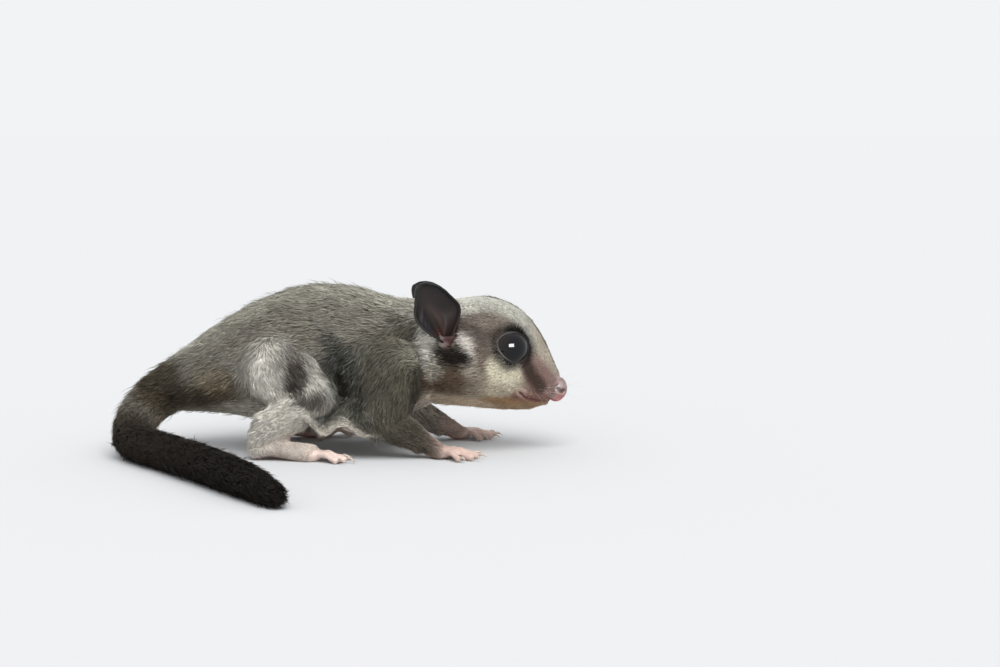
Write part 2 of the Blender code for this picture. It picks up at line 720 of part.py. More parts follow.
# Trunk, parted into torso, neck, head and the tail's lengths
cuts = [drum(name, *seam, TRUNK_CUT, GAP) for name, seam in (("neck", NECK_SEAM), ("head", HEAD_SEAM))]
for share in TAIL_SEAMS:
    at, beyond = along_tail(share), along_tail(share + 0.01)
    cuts.append(drum("tail_seam", at, beyond - at, TAIL_CUT, GAP))
places = dict(TRUNK_PLACES)
for number, (start, end) in enumerate(zip(TAIL_SEAMS, [*TAIL_SEAMS[1:], 1.0]), 1):
    places["tail_%d" % number] = along_tail((start + end) / 2)
parts.update(parted(flesh["trunk"], cuts, places))

# Head: sockets, lid openings, nose pocket, mouth and jaw
cutters = [nose(GAP)]
for sign in SIDES.values():
    centre = Vector(mirrored(EYE, sign))
    cutters.append(ball("socket", centre, [EYE_RADIUS + GAP] * 3, segments=20))
    out = eye_direction(sign)
    opening = drum("opening", (0, 0, 0), (0, 0, 1), LID_SPREAD[0], LID_DEPTH, LID_SPREAD[1], sides=24)
    turn = facing(out) @ Matrix.Diagonal((*LID_OPENING, 1, 1))
    opening.data.transform(Matrix.Translation(vector(centre + out * LID_REACH)) @ turn)
    cutters.append(opening)
cutters.append(bent_sheet("mouth", [*MOUTH_LINE, *JAW_SEAM], JAW_HALF_WIDTH))
parts.update(parted(parts["head"], cutters, HEAD_PLACES))
for side, sign in SIDES.items():
    parts[side + "_eye"] = ball(side + "_eye", mirrored(EYE, sign), [EYE_RADIUS] * 3, segments=20)
nostrils = []
for sign in SIDES.values():
    way = mirrored(NOSTRIL_FACING, sign)
    nostrils.append(drum("nostril", mirrored(NOSTRIL, sign), way, NOSTRIL_RADIUS, NOSTRIL_DEPTH, sides=10))
parts["nose"] = combined(nose(), nostrils, "DIFFERENCE")

# Flats where feet, hands and tail touch the ground
for name, obj in parts.items():
    lowest = min(v.co.z for v in obj.data.vertices) / MM
    if lowest < GROUND:
        middle = (0, 0, GROUND - GROUND_DEPTH / 2)
        below = drum("below", middle, (0, 0, 1), GROUND_RADIUS, GROUND_DEPTH)
        parts[name] = largest(combined(obj, [below], "DIFFERENCE"))

# The origin goes to the middle of the underside, and each piece gets its finish
corners = np.array([v.co for obj in parts.values() for v in obj.data.vertices])
low, high = corners.min(axis=0), corners.max(axis=0)
shift = Vector((-(low[0] + high[0]) / 2, -(low[1] + high[1]) / 2, -low[2]))
finishes = {}
for label, colour, roughness, names in FINISHES:
    material = bpy.data.materials.new(label)
    material.use_nodes = True
    shader = material.node_tree.nodes["Principled BSDF"]
    shader.inputs["Base Color"].default_value = (*colour, 1)
    shader.inputs["Roughness"].default_value = roughness
    finishes.update({name: material for name in names})
for name, obj in parts.items():
    obj.name = name
    obj.data.transform(Matrix.Translation(shift))
    label = next(key for key in finishes if key in name)
    obj.data.materials.clear()
    obj.data.materials.append(finishes[label])
    obj.data.shade_smooth()
    obj.data.set_sharp_from_angle(angle=math.radians(SMOOTH_UP_TO))
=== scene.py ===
"""A sugar glider joey, life size: skin, eyes, nose, ears, claws, coat and whiskers over its solids."""
import math

import bmesh
import bpy
import numpy as np
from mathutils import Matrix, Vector
from mathutils.bvhtree import BVHTree
from mathutils.kdtree import KDTree


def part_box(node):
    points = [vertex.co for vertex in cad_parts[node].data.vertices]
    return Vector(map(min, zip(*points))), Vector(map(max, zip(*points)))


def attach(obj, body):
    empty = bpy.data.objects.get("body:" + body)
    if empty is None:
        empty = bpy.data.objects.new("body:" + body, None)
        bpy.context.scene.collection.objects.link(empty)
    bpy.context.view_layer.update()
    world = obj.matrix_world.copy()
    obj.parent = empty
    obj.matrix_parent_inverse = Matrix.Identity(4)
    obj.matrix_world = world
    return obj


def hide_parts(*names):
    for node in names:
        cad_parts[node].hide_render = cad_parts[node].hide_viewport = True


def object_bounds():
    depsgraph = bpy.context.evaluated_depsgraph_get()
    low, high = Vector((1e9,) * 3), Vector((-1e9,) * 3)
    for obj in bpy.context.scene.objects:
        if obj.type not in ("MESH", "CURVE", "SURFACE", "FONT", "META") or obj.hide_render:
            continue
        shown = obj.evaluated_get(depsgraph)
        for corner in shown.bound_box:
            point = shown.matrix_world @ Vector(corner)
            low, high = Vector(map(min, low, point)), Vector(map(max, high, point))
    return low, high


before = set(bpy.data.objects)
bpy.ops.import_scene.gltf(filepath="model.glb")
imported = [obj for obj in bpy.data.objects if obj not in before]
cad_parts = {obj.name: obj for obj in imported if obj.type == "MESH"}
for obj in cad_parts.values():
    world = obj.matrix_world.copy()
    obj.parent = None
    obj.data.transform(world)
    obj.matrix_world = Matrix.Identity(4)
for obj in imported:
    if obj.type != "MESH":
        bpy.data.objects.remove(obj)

solid_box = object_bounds()

# Skin
# The hide of a joey, thin and loose over the flesh and all one piece from the lips to the soles, lids and
# all. It is grown together from the flesh nodes, so that no cut between them shows, and it lies inside
# them by the depth of the coat that covers it.

# places are in millimetres from the ground under the ribs: x the way the animal faces, y to its left and
# z up, those of a pair on its left side, and the solids' right eye shows where that origin lies
EYE = np.array((34.5, 6.6, 22.9))
SIDES = {"right": -1, "left": 1}
eye_low, eye_high = (np.array(corner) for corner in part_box("right_eye"))
ORIGIN = (eye_low + eye_high) / 2 * 1000 - EYE * (1, -1, 1)


def metres(places):
    return (np.asarray(places, float) + ORIGIN) / 1000


def sided(place, side):
    return (place[0], place[1] * SIDES[side], *place[2:])


def line_on(line, side):
    return [sided(place, side) for place in line]


# Every hair lies along the body, from the nose back over head, trunk and tail and down each limb. Each
# run is a stretch of coat: its places, its reach, the hairs' length, the coat's depth, the tufts' width,
# its colour and its tips', matched to the photographed animal and guessed where that doesn't show it.
RUNS = [
    ("nose_bridge", [(46, 0.5, 15.5), (42.5, 1.2, 23), (39.5, 1.5, 28)],
     2.2, 0.8, 0.12, 0.1, "#b3a999", "#c7c0b1"),
    ("snout_side", [(45.5, 2.4, 13), (41.5, 5, 15), (38, 7, 17.5)],
     2.6, 0.7, 0.1, 0.1, "#967a71", "#a99086"),
    ("upper_lip", [(44.5, 2.6, 10.8), (41, 4.4, 11.2), (37, 6.6, 12)],
     1.6, 0.6, 0.1, 0.09, "#8a6257", "#b3998a"),
    ("forehead", [(39.5, 2, 28), (35, 3, 32.2), (29, 3.5, 34)], 3.2, 1.3, 0.3, 0.12, "#cfcdc2", "#e6e4da"),
    ("crown", [(29, 3.5, 34), (24, 4, 33.6), (18, 4.5, 32.8)], 3.4, 1.9, 0.5, 0.13, "#eae8dd", "#f6f4ec"),
    ("temple", [(34, 8, 28), (29, 9, 27.5), (24, 9.5, 27)], 3, 1.4, 0.35, 0.12, "#95897e", "#b4aa9f"),
    ("cheek", [(37, 8, 16.5), (32.5, 9.6, 15.5), (27.5, 10.4, 14.5)],
     3, 1.3, 0.3, 0.12, "#d7ccb5", "#eee5d1"),
    ("jowl", [(29, 10.2, 15), (24, 10, 15.5), (19, 9.6, 15.5)], 3, 2.2, 0.6, 0.13, "#6d5a4a", "#94826f"),
    # painted light: the orange-tan on the side of the lower jaw is warm light bounced up onto it
    ("jaw_side_bounce_lit", [(42, 3.6, 9.8), (37, 6, 9.8), (31, 7.4, 10.6)],
     1.8, 0.9, 0.18, 0.1, "#b7916c", "#cfb38f"),
    ("chin", [(43.5, 0.5, 9.4), (37, 1.5, 8.6), (30, 2, 8.8)], 2.6, 1, 0.2, 0.11, "#b2977a", "#ccb79c"),
    ("throat", [(30, 2.5, 9), (24, 4, 9.4), (17, 5, 9.6)], 3.2, 1.9, 0.45, 0.13, "#e4cfb4", "#efe0cb"),
    ("nape", [(19, 3, 33.2), (14, 4, 33.4), (8, 4.5, 34.4)], 4.5, 3, 0.75, 0.15, "#b2afa2", "#d4d1c3"),
    ("neck_side", [(20, 9.2, 22), (15, 9.8, 22), (9, 11, 23)], 3.4, 2.8, 0.7, 0.14, "#928e7f", "#b5b1a2"),
    ("spine", [(8, 2, 35), (-6, 2, 35.6), (-20, 2, 31.8), (-32, 2, 25), (-41, 1.5, 17.5)],
     7.5, 3.4, 1, 0.16, "#a9a698", "#c9c6b9"),
    ("loin", [(6, 9, 30), (-8, 10.5, 30), (-20, 9.6, 26), (-32, 6.5, 19.5), (-40, 4, 14.5)],
     6, 3.4, 1, 0.16, "#8f8a7e", "#b4b0a4"),
    ("shoulder", [(13, 9.5, 27), (8, 12.2, 22), (5, 14, 15)], 5, 3, 0.8, 0.15, "#69655a", "#8d8979"),
    # the flank's dark colour is partly its own coat and partly painted shade behind the front leg
    ("flank", [(1, 12.8, 21), (-3, 13.2, 17.5), (-5, 13, 12)], 3.2, 3.4, 0.8, 0.15, "#4b4a43", "#95938a"),
    ("belly", [(14, 3, 8), (0, 4, 5.4), (-16, 4, 6.4), (-34, 3, 8.6)],
     6, 3, 0.8, 0.2, "#c4beb0", "#dedacd"),
    ("rump_side", [(-24, 10, 16), (-31, 7, 13.5), (-38, 4.5, 11.5)],
     4, 3.2, 0.8, 0.16, "#5d5344", "#7c6f5c"),
    ("vent", [(-26, 5, 9), (-33, 3.4, 9), (-40, 2.6, 9.6)], 3.4, 2.6, 0.7, 0.17, "#776c5b", "#8f8573"),
    ("upper_arm", [(10, 13, 19), (8, 15.4, 13), (7.5, 16, 8)], 4.2, 2.6, 0.6, 0.14, "#5f5b4e", "#918c7c"),
    ("forearm", [(6, 15.5, 8), (11, 15.6, 6), (16.5, 14.4, 3.6)],
     3.4, 1.8, 0.4, 0.12, "#4b473e", "#908878"),
    ("inner_arm", [(11, 8.5, 13), (10, 8.8, 7), (15, 10.4, 3.2)],
     3.2, 1.6, 0.4, 0.14, "#a2978a", "#c4bbac"),
    ("hand_back", [(16.5, 12.6, 3.8), (20.5, 12.7, 2.6)], 2.4, 0.6, 0.06, 0.09, "#b79d91", "#d8c8bd"),
    ("thigh", [(-16, 13.6, 25), (-12, 16.6, 20), (-7, 18.4, 15)],
     4.4, 2.8, 0.6, 0.14, "#cfcbc0", "#e4e1d8"),
    ("haunch", [(-20, 12, 24), (-22, 14, 17), (-21, 15, 11)], 4, 2.8, 0.6, 0.14, "#bbb7aa", "#dfdbd0"),
    ("shank", [(-8, 18, 13), (-13, 18, 10.5), (-18.6, 17, 6.5)],
     3.6, 2.2, 0.45, 0.13, "#f2ede1", "#f8f5ee"),
    ("inner_leg", [(-12, 10, 10), (-15, 10.6, 7.5), (-18, 11.4, 5)],
     3.2, 1.8, 0.4, 0.15, "#cfcabd", "#e4e0d4"),
    ("foot_top", [(-18, 14.4, 4.8), (-12, 14.6, 3.9), (-6.5, 15, 2.8)],
     2.6, 0.8, 0.1, 0.1, "#dfd1c5", "#efe8df"),
    ("sole", [(-18, 14.2, 0.6), (-10, 14.4, 0.4)], 1.4, 0.3, 0, 0.1, "#c99c8e", "#d8b5a8"),
    ("palm", [(17.5, 12.6, 0.8), (21, 12.7, 0.4)], 1.4, 0.3, 0, 0.1, "#c09082", "#d8b5a8"),
    ("membrane_hem",
     [(6.8, 15.6, 5.8), (3.5, 15.8, 5.2), (-0.5, 16.2, 7.4), (-4.5, 15.8, 5.4), (-8.5, 17.8, 9),
      (-12.5, 16.6, 7.8)],
     1.6, 1.3, 0.25, 0.12, "#cfc8bb", "#e6e1d6"),
]
# the tail's own line, from the rump to the tip, and its colours along it
TAIL = [(-39, 0, 13.6), (-42.5, -1, 11.2), (-45.8, -5.4, 7), (-45.4, -12.4, 4.2), (-41, -20.4, 3.85),
        (-34.6, -29, 3.8), (-28, -38.6, 3.75), (-21.4, -48.4, 3.6), (-15, -58.4, 3.3), (-9.4, -67, 2.6)]
TAIL_COATS = [("#564b40", "#6e6252"), ("#453c33", "#5c5144"), ("#37322c", "#4d453c"), ("#312d28", "#463f37"),
              ("#2c2926", "#433c35"), ("#272422", "#3e3730"), ("#242120", "#39322c"), ("#211f1e", "#352e28"),
              ("#1f1d1c", "#322b26")]
TAIL_HAIR, TAIL_DEPTH, TAIL_WIDTH, TAIL_REACH = 3.6, 0.8, 0.16, 3.2
DIGIT_COATS = {"hand": ("#cab0a4", "#e0d0c5"), "foot": ("#dcc6bb", "#ece0d8")}
DIGIT_HEIGHTS, DIGIT_FUR = (1.5, 1.0), (1.5, 0.5, 0.02, 0.08)  # reach, hairs, depth and width of a tuft

# the paws' digits, from the middle of each palm and of the ball of each foot
WRIST, ANKLE = (16.6, 12.6, 3.2), (-17.4, 14.2, 5.4)
FAR_HAND_AHEAD = 3.5
HEADINGS = {"hand": {"right": -8, "left": 12}, "foot": {"right": -10, "left": 12}}  # degrees to the left
HAND_DIGITS = [(-46, 4.0), (-21, 5.3), (-1, 5.8), (19, 5.6), (42, 4.5)]  # degrees outwards, and reach
TOES = [(-9, 4.2, 0.66), (-1.5, 4.6, 0.66), (11, 5.9, 0.82), (25, 5.2, 0.82)]
BIG_TOE = (-74, 4.0, 0.95)
FOOT_LENGTH, DIGIT_RADIUS = 12.6, 0.78
PALM_AHEAD, BALL_SHARE = 3.4, 0.8  # of the palm before the wrist, and of the ball along the foot
HAND_KNUCKLES, FOOT_KNUCKLES = (1.7, 1.9), (1.9, 2.2)  # half length and width of the oval they lie on
JOINED_INWARDS, BIG_TOE_BACK, BIG_TOE_INWARDS = 0.9, 0.18, 1.6


def digits_of(side, paw):
    """Each digit of a paw: its start on the ground, the way it points, its reach and its radius."""
    sign = SIDES[side]
    heading = math.radians(HEADINGS[paw][side])
    along = np.array((math.cos(heading), math.sin(heading)))
    inwards = np.array((along[1], -along[0])) * sign
    rows = []
    if paw == "hand":
        ahead = FAR_HAND_AHEAD if side == "left" else 0
        palm = np.array((WRIST[0] + ahead, WRIST[1] * sign)) + along * PALM_AHEAD
        for spread, reach in HAND_DIGITS:
            turn = heading + math.radians(spread) * sign
            root = palm + (math.cos(turn) * HAND_KNUCKLES[0], math.sin(turn) * HAND_KNUCKLES[1])
            rows.append((root, turn, reach, DIGIT_RADIUS))
    else:
        ball = np.array((ANKLE[0], ANKLE[1] * sign)) + along * FOOT_LENGTH * BALL_SHARE
        for spread, reach, radius in TOES:
            turn = heading + math.radians(spread) * sign
            root = ball + (math.cos(turn) * FOOT_KNUCKLES[0], math.sin(turn) * FOOT_KNUCKLES[1])
            joined = radius < DIGIT_RADIUS  # the thin second and third toes, side by side
            rows.append((root + inwards * (JOINED_INWARDS if joined else 0), turn, reach, radius))
        spread, reach, radius = BIG_TOE
        turn = heading + math.radians(spread) * sign
        root = ball - along * FOOT_LENGTH * BIG_TOE_BACK + inwards * BIG_TOE_INWARDS
        rows.append((root, turn, reach, radius))
    return rows


def linear(code):
    """A colour given as sRGB hex, as linear light."""
    parts = np.array([int(code[i : i + 2], 16) for i in (1, 3, 5)]) / 255
    return np.where(parts <= 0.04045, parts / 12.92, ((parts + 0.055) / 1.055) ** 2.4)


stretches = []  # each straight stretch: its ends, reach, hairs, depth, tuft width and two colours
for name, places, reach, length, depth, width, colour, tips in RUNS:
    for sign in SIDES.values():
        line = np.array(places, float) * (1, sign, 1)
        if sign > 0 and name in ("hand_back", "palm"):
            line[:, 0] += FAR_HAND_AHEAD
        if sign > 0 and name == "forearm":
            line[-1, 0] += FAR_HAND_AHEAD
        for start, end in zip(line, line[1:]):
            stretches.append((start, end, reach, length, depth, width, linear(colour), linear(tips)))
for side in SIDES:
    for paw, (colour, tips) in DIGIT_COATS.items():
        for root, turn, reach, radius in digits_of(side, paw):
            way = np.array((math.cos(turn), math.sin(turn)))
            places = zip((-0.5, reach), DIGIT_HEIGHTS)
            ends = [np.array((*(root + way * step), height)) for step, height in places]
            stretches.append((*ends, *DIGIT_FUR, linear(colour), linear(tips)))
for start, end, (colour, tips) in zip(np.array(TAIL, float), np.array(TAIL[1:], float), TAIL_COATS):
    sizes = TAIL_REACH, TAIL_HAIR, TAIL_DEPTH, TAIL_WIDTH
    stretches.append((start, end, *sizes, linear(colour), linear(tips)))


def lie_of_coat(points):
    """At each point: which way the hairs lie, their length, the coat's depth, its colour and its tips'."""
    total = np.full(len(points), 1e-12)
    sums = np.zeros((len(points), 12))
    for start, end, reach, length, depth, width, colour, tips in stretches:
        along = end - start
        share = np.clip((points - start) @ along / (along @ along), 0, 1)
        away = np.linalg.norm(points - start - share[:, None] * along, axis=1)
        weight = (1 + (away / reach) ** 2) ** -5  # falls off fast past the reach
        row = np.concatenate([along / np.linalg.norm(along), (length, depth, width), colour, tips])
        sums += weight[:, None] * row
        total += weight
    sums /= total[:, None]
    return sums[:, :3], sums[:, 3], sums[:, 4], sums[:, 5], sums[:, 6:9], sums[:, 9:12]


FLESH = ["head", "lower_jaw", "neck", "torso", "tail_1", "tail_2", "tail_3", "tail_4"]
LIMBS = ("gliding_membrane", "upper_arm", "forearm", "hand", "thigh", "shank", "foot")
FLESH += [side + "_" + part for side in SIDES for part in LIMBS]
CUT = 0.3  # width of the cuts between the solids
GROWN = CUT * 0.75  # how far the flesh is swollen to close them
SKIN_VOXEL = 0.27
SKIN_TRIANGLES = 170000
MOUTH_CORNER = 36.4
MOUTH = [(47.5, 10.5), (43.6, 10.7), (40.6, 11.0), (38.3, 11.9), (36.9, 13.2)]  # x and z of the lips' line


def gap_to(points, line):
    """How far each point is from a line of straight stretches."""
    line = np.array(line, float)
    nearest = np.full(len(points), 1e9)
    for start, end in zip(line, line[1:]):
        along = end - start
        share = np.clip((points - start) @ along / (along @ along), 0, 1)
        nearest = np.minimum(nearest, np.linalg.norm(points - start - share[:, None] * along, axis=1))
    return nearest


def bell(away, width):
    return np.exp(-((away / width) ** 2))


def drop_scraps(piece, least):
    """Deletes the loose scraps of fewer points than this."""
    mesh = bmesh.new()
    mesh.from_mesh(piece.data)
    seen = set()
    scraps = []
    for start in mesh.verts:
        if start in seen:
            continue
        island, edge = {start}, [start]
        while edge:
            for link in edge.pop().link_edges:
                for vert in link.verts:
                    if vert not in island:
                        island.add(vert)
                        edge.append(vert)
        seen |= island
        if len(island) < least:
            scraps += island
    bmesh.ops.delete(mesh, geom=scraps, context="VERTS")
    mesh.to_mesh(piece.data)
    mesh.free()


def pick(*pieces):
    """Selects these pieces alone, the first of them active."""
    bpy.ops.object.select_all(action="DESELECT")
    for piece in pieces:
        piece.select_set(True)
    bpy.context.view_layer.objects.active = pieces[0]
    return pieces[0]


def all_over(piece, operator, **settings):
    """Runs an operator of edit mode on the whole of a piece."""
    pick(piece)
    bpy.ops.object.mode_set(mode="EDIT")
    bpy.ops.mesh.select_all(action="SELECT")
    operator(**settings)
    bpy.ops.object.mode_set(mode="OBJECT")


def finish_with(piece, kind, **settings):
    """Adds a modifier of this kind and applies it."""
    pick(piece)
    modifier = piece.modifiers.new(kind.title(), kind)
    for name, value in settings.items():
        setattr(modifier, name, value)
    bpy.ops.object.modifier_apply(modifier=modifier.name)


def copy_of(name, *nodes):
    """The CAD nodes' meshes, copied, merged and joined into one new piece."""
    copies = []
    for node in nodes:
        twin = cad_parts[node].copy()
        twin.data = twin.data.copy()
        twin.parent = None
        for key in list(twin.keys()):
            del twin[key]
        bpy.context.scene.collection.objects.link(twin)
        copies.append(twin)
    piece = pick(*copies)
    if len(copies) > 1:
        bpy.ops.object.join()
    all_over(piece, bpy.ops.mesh.remove_doubles, threshold=1e-6)
    piece.name = piece.data.name = name
    piece.data.materials.clear()
    return piece


def read(items, name, size, kind=np.float32):
    """One property of all these points, loops or triangles, in rows of this size."""
    values = np.empty(len(items) * size, kind)
    items.foreach_get(name, values)
    return values.reshape(-1, size)


def millimetres(mesh):
    """The mesh's points, in the animal's own measure."""
    return read(mesh.vertices, "co", 3).astype(float) * 1000 - ORIGIN


def move_to(mesh, places):
    mesh.vertices.foreach_set("co", metres(places).astype(np.float32).ravel())
    mesh.update()


def normals_of(mesh):
    return read(mesh.vertices, "normal", 3).astype(float)


EYE_RADIUS, SOCKET_RADIUS = 4.1, 4.5
BEHIND_EYE, LID_THICKNESS, LID_REACH = 0.3, 0.22, 1.4  # of the skin, from the face of the eyeball
EYE_FORWARD, EYE_UP, EYE_SLANT = 28, 8, -24  # degrees: turned ahead, tipped up, and slanting down ahead
OPENING = (66, 50)  # degrees from the middle of the eye's opening to its corners, and to its long edges
NOSTRIL = [(46.4, 1.75, 12.9), (45.9, 2.25, 12.8), (45.1, 2.55, 13.4)]  # a comma, from the front outwards
NOSE_FRONT = (46.8, 0, 13)
CANAL = [(21.4, 0, 24.4), (22.7, 0, 26.2), (22.4, 0, 29)]  # the hollow before the ear's root, in side view
CANAL_PUSHED, CANAL_BARE = 1.7, 1.6  # its half width in the skin, and where no hair grows
CANAL_FROM = 5  # how far out from the middle it begins
MIDDLE_FORM = [  # a line, how far the skin is pushed in there, or out where less than 0, and how widely
    ([(44.8, 0, 16), (45.7, 0, 14.9)], -0.35, 1.2),  # the bridge runs into the nose pad
    ([(20, 0, 34), (26.5, 0, 34.6)], 0.6, 3.5),  # a dip behind the brow
]
SIDE_FORM = [  # the same on both sides
    (NOSTRIL, 1.3, 0.6),
    ([(44.4, 2.0, 14.6), (44.6, 2.2, 12.6)], -0.3, 1.1),  # the wing of the nose
    ([(43.2, 3.6, 12.6), (40.4, 5.6, 13)], -0.3, 1.7),  # the cushion that the whiskers grow from
]


def eye_turn(side):
    """The matrix whose x runs along the eye's opening, y up across it and z out of the eye."""
    forward, up, slant = (math.radians(angle) for angle in (EYE_FORWARD, EYE_UP, EYE_SLANT))
    sign = SIDES[side]
    out = Vector((math.sin(forward) * math.cos(up), sign * math.cos(forward) * math.cos(up), math.sin(up)))
    ahead = Vector((math.cos(forward), -sign * math.sin(forward), 0))
    above = out.cross(ahead) * -sign
    along = ahead * math.cos(slant) + above * math.sin(slant)
    across = above * math.cos(slant) - ahead * math.sin(slant)
    return np.array([along, across, out])


def opening_at(angles):
    """How wide the eye's opening is, in radians from its middle, at angles round it."""
    long, high = np.radians(OPENING)
    return 1 / np.sqrt((np.cos(angles) / long) ** 2 + (np.sin(angles) / high) ** 2)


def opened(from_eye):
    """How far each place in the eye's own frame lies out, as a share of the opening."""
    wide = np.arctan2(np.hypot(from_eye[:, 0], from_eye[:, 1]), from_eye[:, 2])
    return wide / opening_at(np.arctan2(from_eye[:, 1], from_eye[:, 0]))


skin = copy_of("skin", *FLESH, "nose")
sockets = []
for side in SIDES:
    bpy.ops.object.select_all(action="DESELECT")
    bpy.ops.mesh.primitive_uv_sphere_add(radius=SOCKET_RADIUS / 1000, location=metres(sided(EYE, side)))
    bpy.ops.object.transform_apply(location=True)
    sockets.append(bpy.context.object)
pick(skin, *sockets)
bpy.ops.object.join()
finish_with(skin, "DISPLACE", strength=GROWN / 1000, mid_level=0)
finish_with(skin, "REMESH", mode="VOXEL", voxel_size=SKIN_VOXEL / 1000)
drop_scraps(skin, least=400)
finish_with(skin, "SMOOTH", iterations=4, factor=0.5)
points, normals = millimetres(skin.data), normals_of(skin.data)
inwards = lie_of_coat(points)[2] + GROWN
lips = gap_to(points[:, [0, 2]], MOUTH)
face = points[:, 0] > MOUTH_CORNER
inwards += face * (0.34 * bell(lips, 0.32) - 0.16 * bell(lips - 0.75, 0.4))  # a fold between full lips
canal = gap_to(points * (1, 0, 1), CANAL)
inwards += bell(canal, CANAL_PUSHED) * (np.abs(points[:, 1]) > CANAL_FROM)
for line, pushed, broad in MIDDLE_FORM:
    inwards += pushed * bell(gap_to(points, line), broad)
inwards += 0.5 * bell(np.linalg.norm(points - NOSE_FRONT, axis=1), 1.6)  # room for the nose pad
for side in SIDES:
    for line, pushed, broad in SIDE_FORM:
        inwards += pushed * bell(gap_to(points, line_on(line, side)), broad)
points = points - normals * inwards[:, None]
for side in SIDES:
    from_eye = (points - sided(EYE, side)) @ eye_turn(side).T
    reach = np.linalg.norm(from_eye, axis=1)
    size = opened(from_eye)
    wanted = np.maximum(reach, EYE_RADIUS + LID_THICKNESS)
    wanted = np.where(size < 1, EYE_RADIUS - BEHIND_EYE, wanted)
    near = (reach < EYE_RADIUS + LID_REACH) & (size < 1.5)
    wanted = np.where(near, wanted, reach)
    points = points + (from_eye * (wanted / reach - 1)[:, None]) @ eye_turn(side)
move_to(skin.data, points)
finish_with(skin, "SMOOTH", iterations=1, factor=0.5)
skin.data.calc_loop_triangles()
finish_with(skin, "DECIMATE", ratio=SKIN_TRIANGLES / len(skin.data.loop_triangles))

# the lids, thin and dark, hairless along their wet edge and close round the eyeball, joined to the skin
LID_RINGS = [  # size, as a share of the opening's, and distance from the middle of the eye
    (0.9, 4.02), (0.94, 4.15), (0.965, 4.26), (0.99, 4.33),
    (1.02, 4.36), (1.06, 4.33), (1.11, 4.26), (1.18, 4.15),
]
LID_STEPS, LID_CORNERS = 64, 0.04  # how far the opening is drawn out at both corners


def put(name, data):
    """A new object of this name in the scene."""
    piece = bpy.data.objects.new(name, data)
    bpy.context.scene.collection.objects.link(piece)
    return piece


def new_piece(name, places, faces):
    """A new piece from its places, in the animal's own measure, and its faces."""
    mesh = bpy.data.meshes.new(name)
    mesh.from_pydata(metres(places).tolist(), [], faces)
    return put(name, mesh)


def strips(rows, steps, closed=True, base=0):
    """The faces between rows of points, each row a closed ring or an open line."""
    faces = []
    for near in range(base, base + (rows - 1) * steps, steps):
        for step in range(steps if closed else steps - 1):
            after = (step + 1) % steps
            faces.append((near + step, near + after, near + steps + after, near + steps + step))
    return faces


lids = []
for side in SIDES:
    turn = eye_turn(side)
    rings = []
    for size, reach in LID_RINGS:
        angles = np.arange(LID_STEPS) * 2 * math.pi / LID_STEPS
        wide = size * opening_at(angles) * (1 + LID_CORNERS * np.abs(np.cos(angles)) ** 8)
        outwards = [np.sin(wide) * np.cos(angles), np.sin(wide) * np.sin(angles), np.cos(wide)]
        rings.append(np.array(sided(EYE, side)) + np.stack(outwards, 1) * reach @ turn)
    faces = [face[1:] + face[:1] for face in strips(len(rings), LID_STEPS)]
    if side == "right":
        faces = [face[::-1] for face in faces]
    lids.append(new_piece(side + "_lids", np.concatenate(rings), faces))
pick(skin, *lids)
bpy.ops.object.join()
all_over(skin, bpy.ops.uv.smart_project, angle_limit=math.radians(66), island_margin=0.002)
skin.data.uv_layers[0].name = "OFBake"
skin.data.shade_smooth()

# The joey's mask and stripes, alike on both sides, with some painted shadow, shade and highlight among
# them. Each is a soft-edged patch with its middle, its half sizes, its colour and how much it covers, or a
# stripe along a line with its half width.
PATCHES = [
    ("ear_white", (24.1, 10.4, 25.4), (2.7, 4, 1.8), "#f3ebe4", 0.95),
    ("ear_white_low", (25.7, 10.4, 22.4), (1.6, 4, 3), "#efe8df", 0.9),
    ("jowl_pale", (26.2, 10.4, 18.6), (2, 4, 2.2), "#c9c0b2", 0.55),
    ("ear_patch", (22.7, 10, 20.9), (3.5, 4.5, 2.3), "#2b2622", 1),
    ("ear_patch_high", (20.5, 10, 22.2), (2.3, 4.5, 1.8), "#302a25", 0.95),
    ("cheek_cream", (33.4, 10, 17.9), (4.2, 4, 3.2), "#f2ebd4", 0.95),
    ("cheek_edge", (28.6, 10.2, 21), (1.1, 4, 4.4), "#7d6e61", 0.7),
    ("neck_tufts", (16.4, 10, 24.4), (1.8, 4, 5.8), "#f6f3ea", 0.9),
    ("neck_tufts_low", (18.3, 10, 18), (2.2, 4, 2.4), "#cfcabd", 0.6),
    ("throat_dark", (14, 10, 14.4), (2.4, 5, 6), "#2f2b25", 0.8),
    ("chest_pale", (15, 4, 8.8), (4, 6, 3.2), "#e8dcd0", 0.85),
    ("thigh_dark", (-9.9, 17.5, 17.6), (2.5, 6, 4.2), "#3b332d", 0.9),
    ("thigh_dark_high", (-11.2, 16.5, 21.6), (3, 6, 2.6), "#514840", 0.5),
    ("shank_pale", (-17, 16, 16.4), (2.7, 6, 7), "#f6f2e8", 0.95),
    # painted shadow: the dark gap under the membrane's edge, between the thigh and the foot
    ("groin_shadow", (-6.8, 17, 12.6), (3.4, 6, 2), "#3f352c", 0.75),
    ("rump_dark", (-41.5, 4, 14.6), (6, 9, 6), "#423728", 0.85),
    ("rump_low", (-34.5, 7, 12), (6, 6, 2.6), "#4c443a", 0.7),
    ("tail_root_tan", (-28.6, 8, 16.2), (4.8, 5, 2.4), "#a0927a", 0.55),
    # painted highlight: a pale glint on the lower lip at the mouth's corner
    ("lip_highlight", (37.2, 6.5, 12.9), (1.4, 3, 1.1), "#d3b9ac", 0.7),
    ("nose_bare", (44.9, 0, 13.6), (2.8, 3.4, 3.4), "#93787a", 0.9),
    ("lid_ring", (35.2, 9.2, 23.7), (4.7, 8, 4.6), "#171412", 1),
]
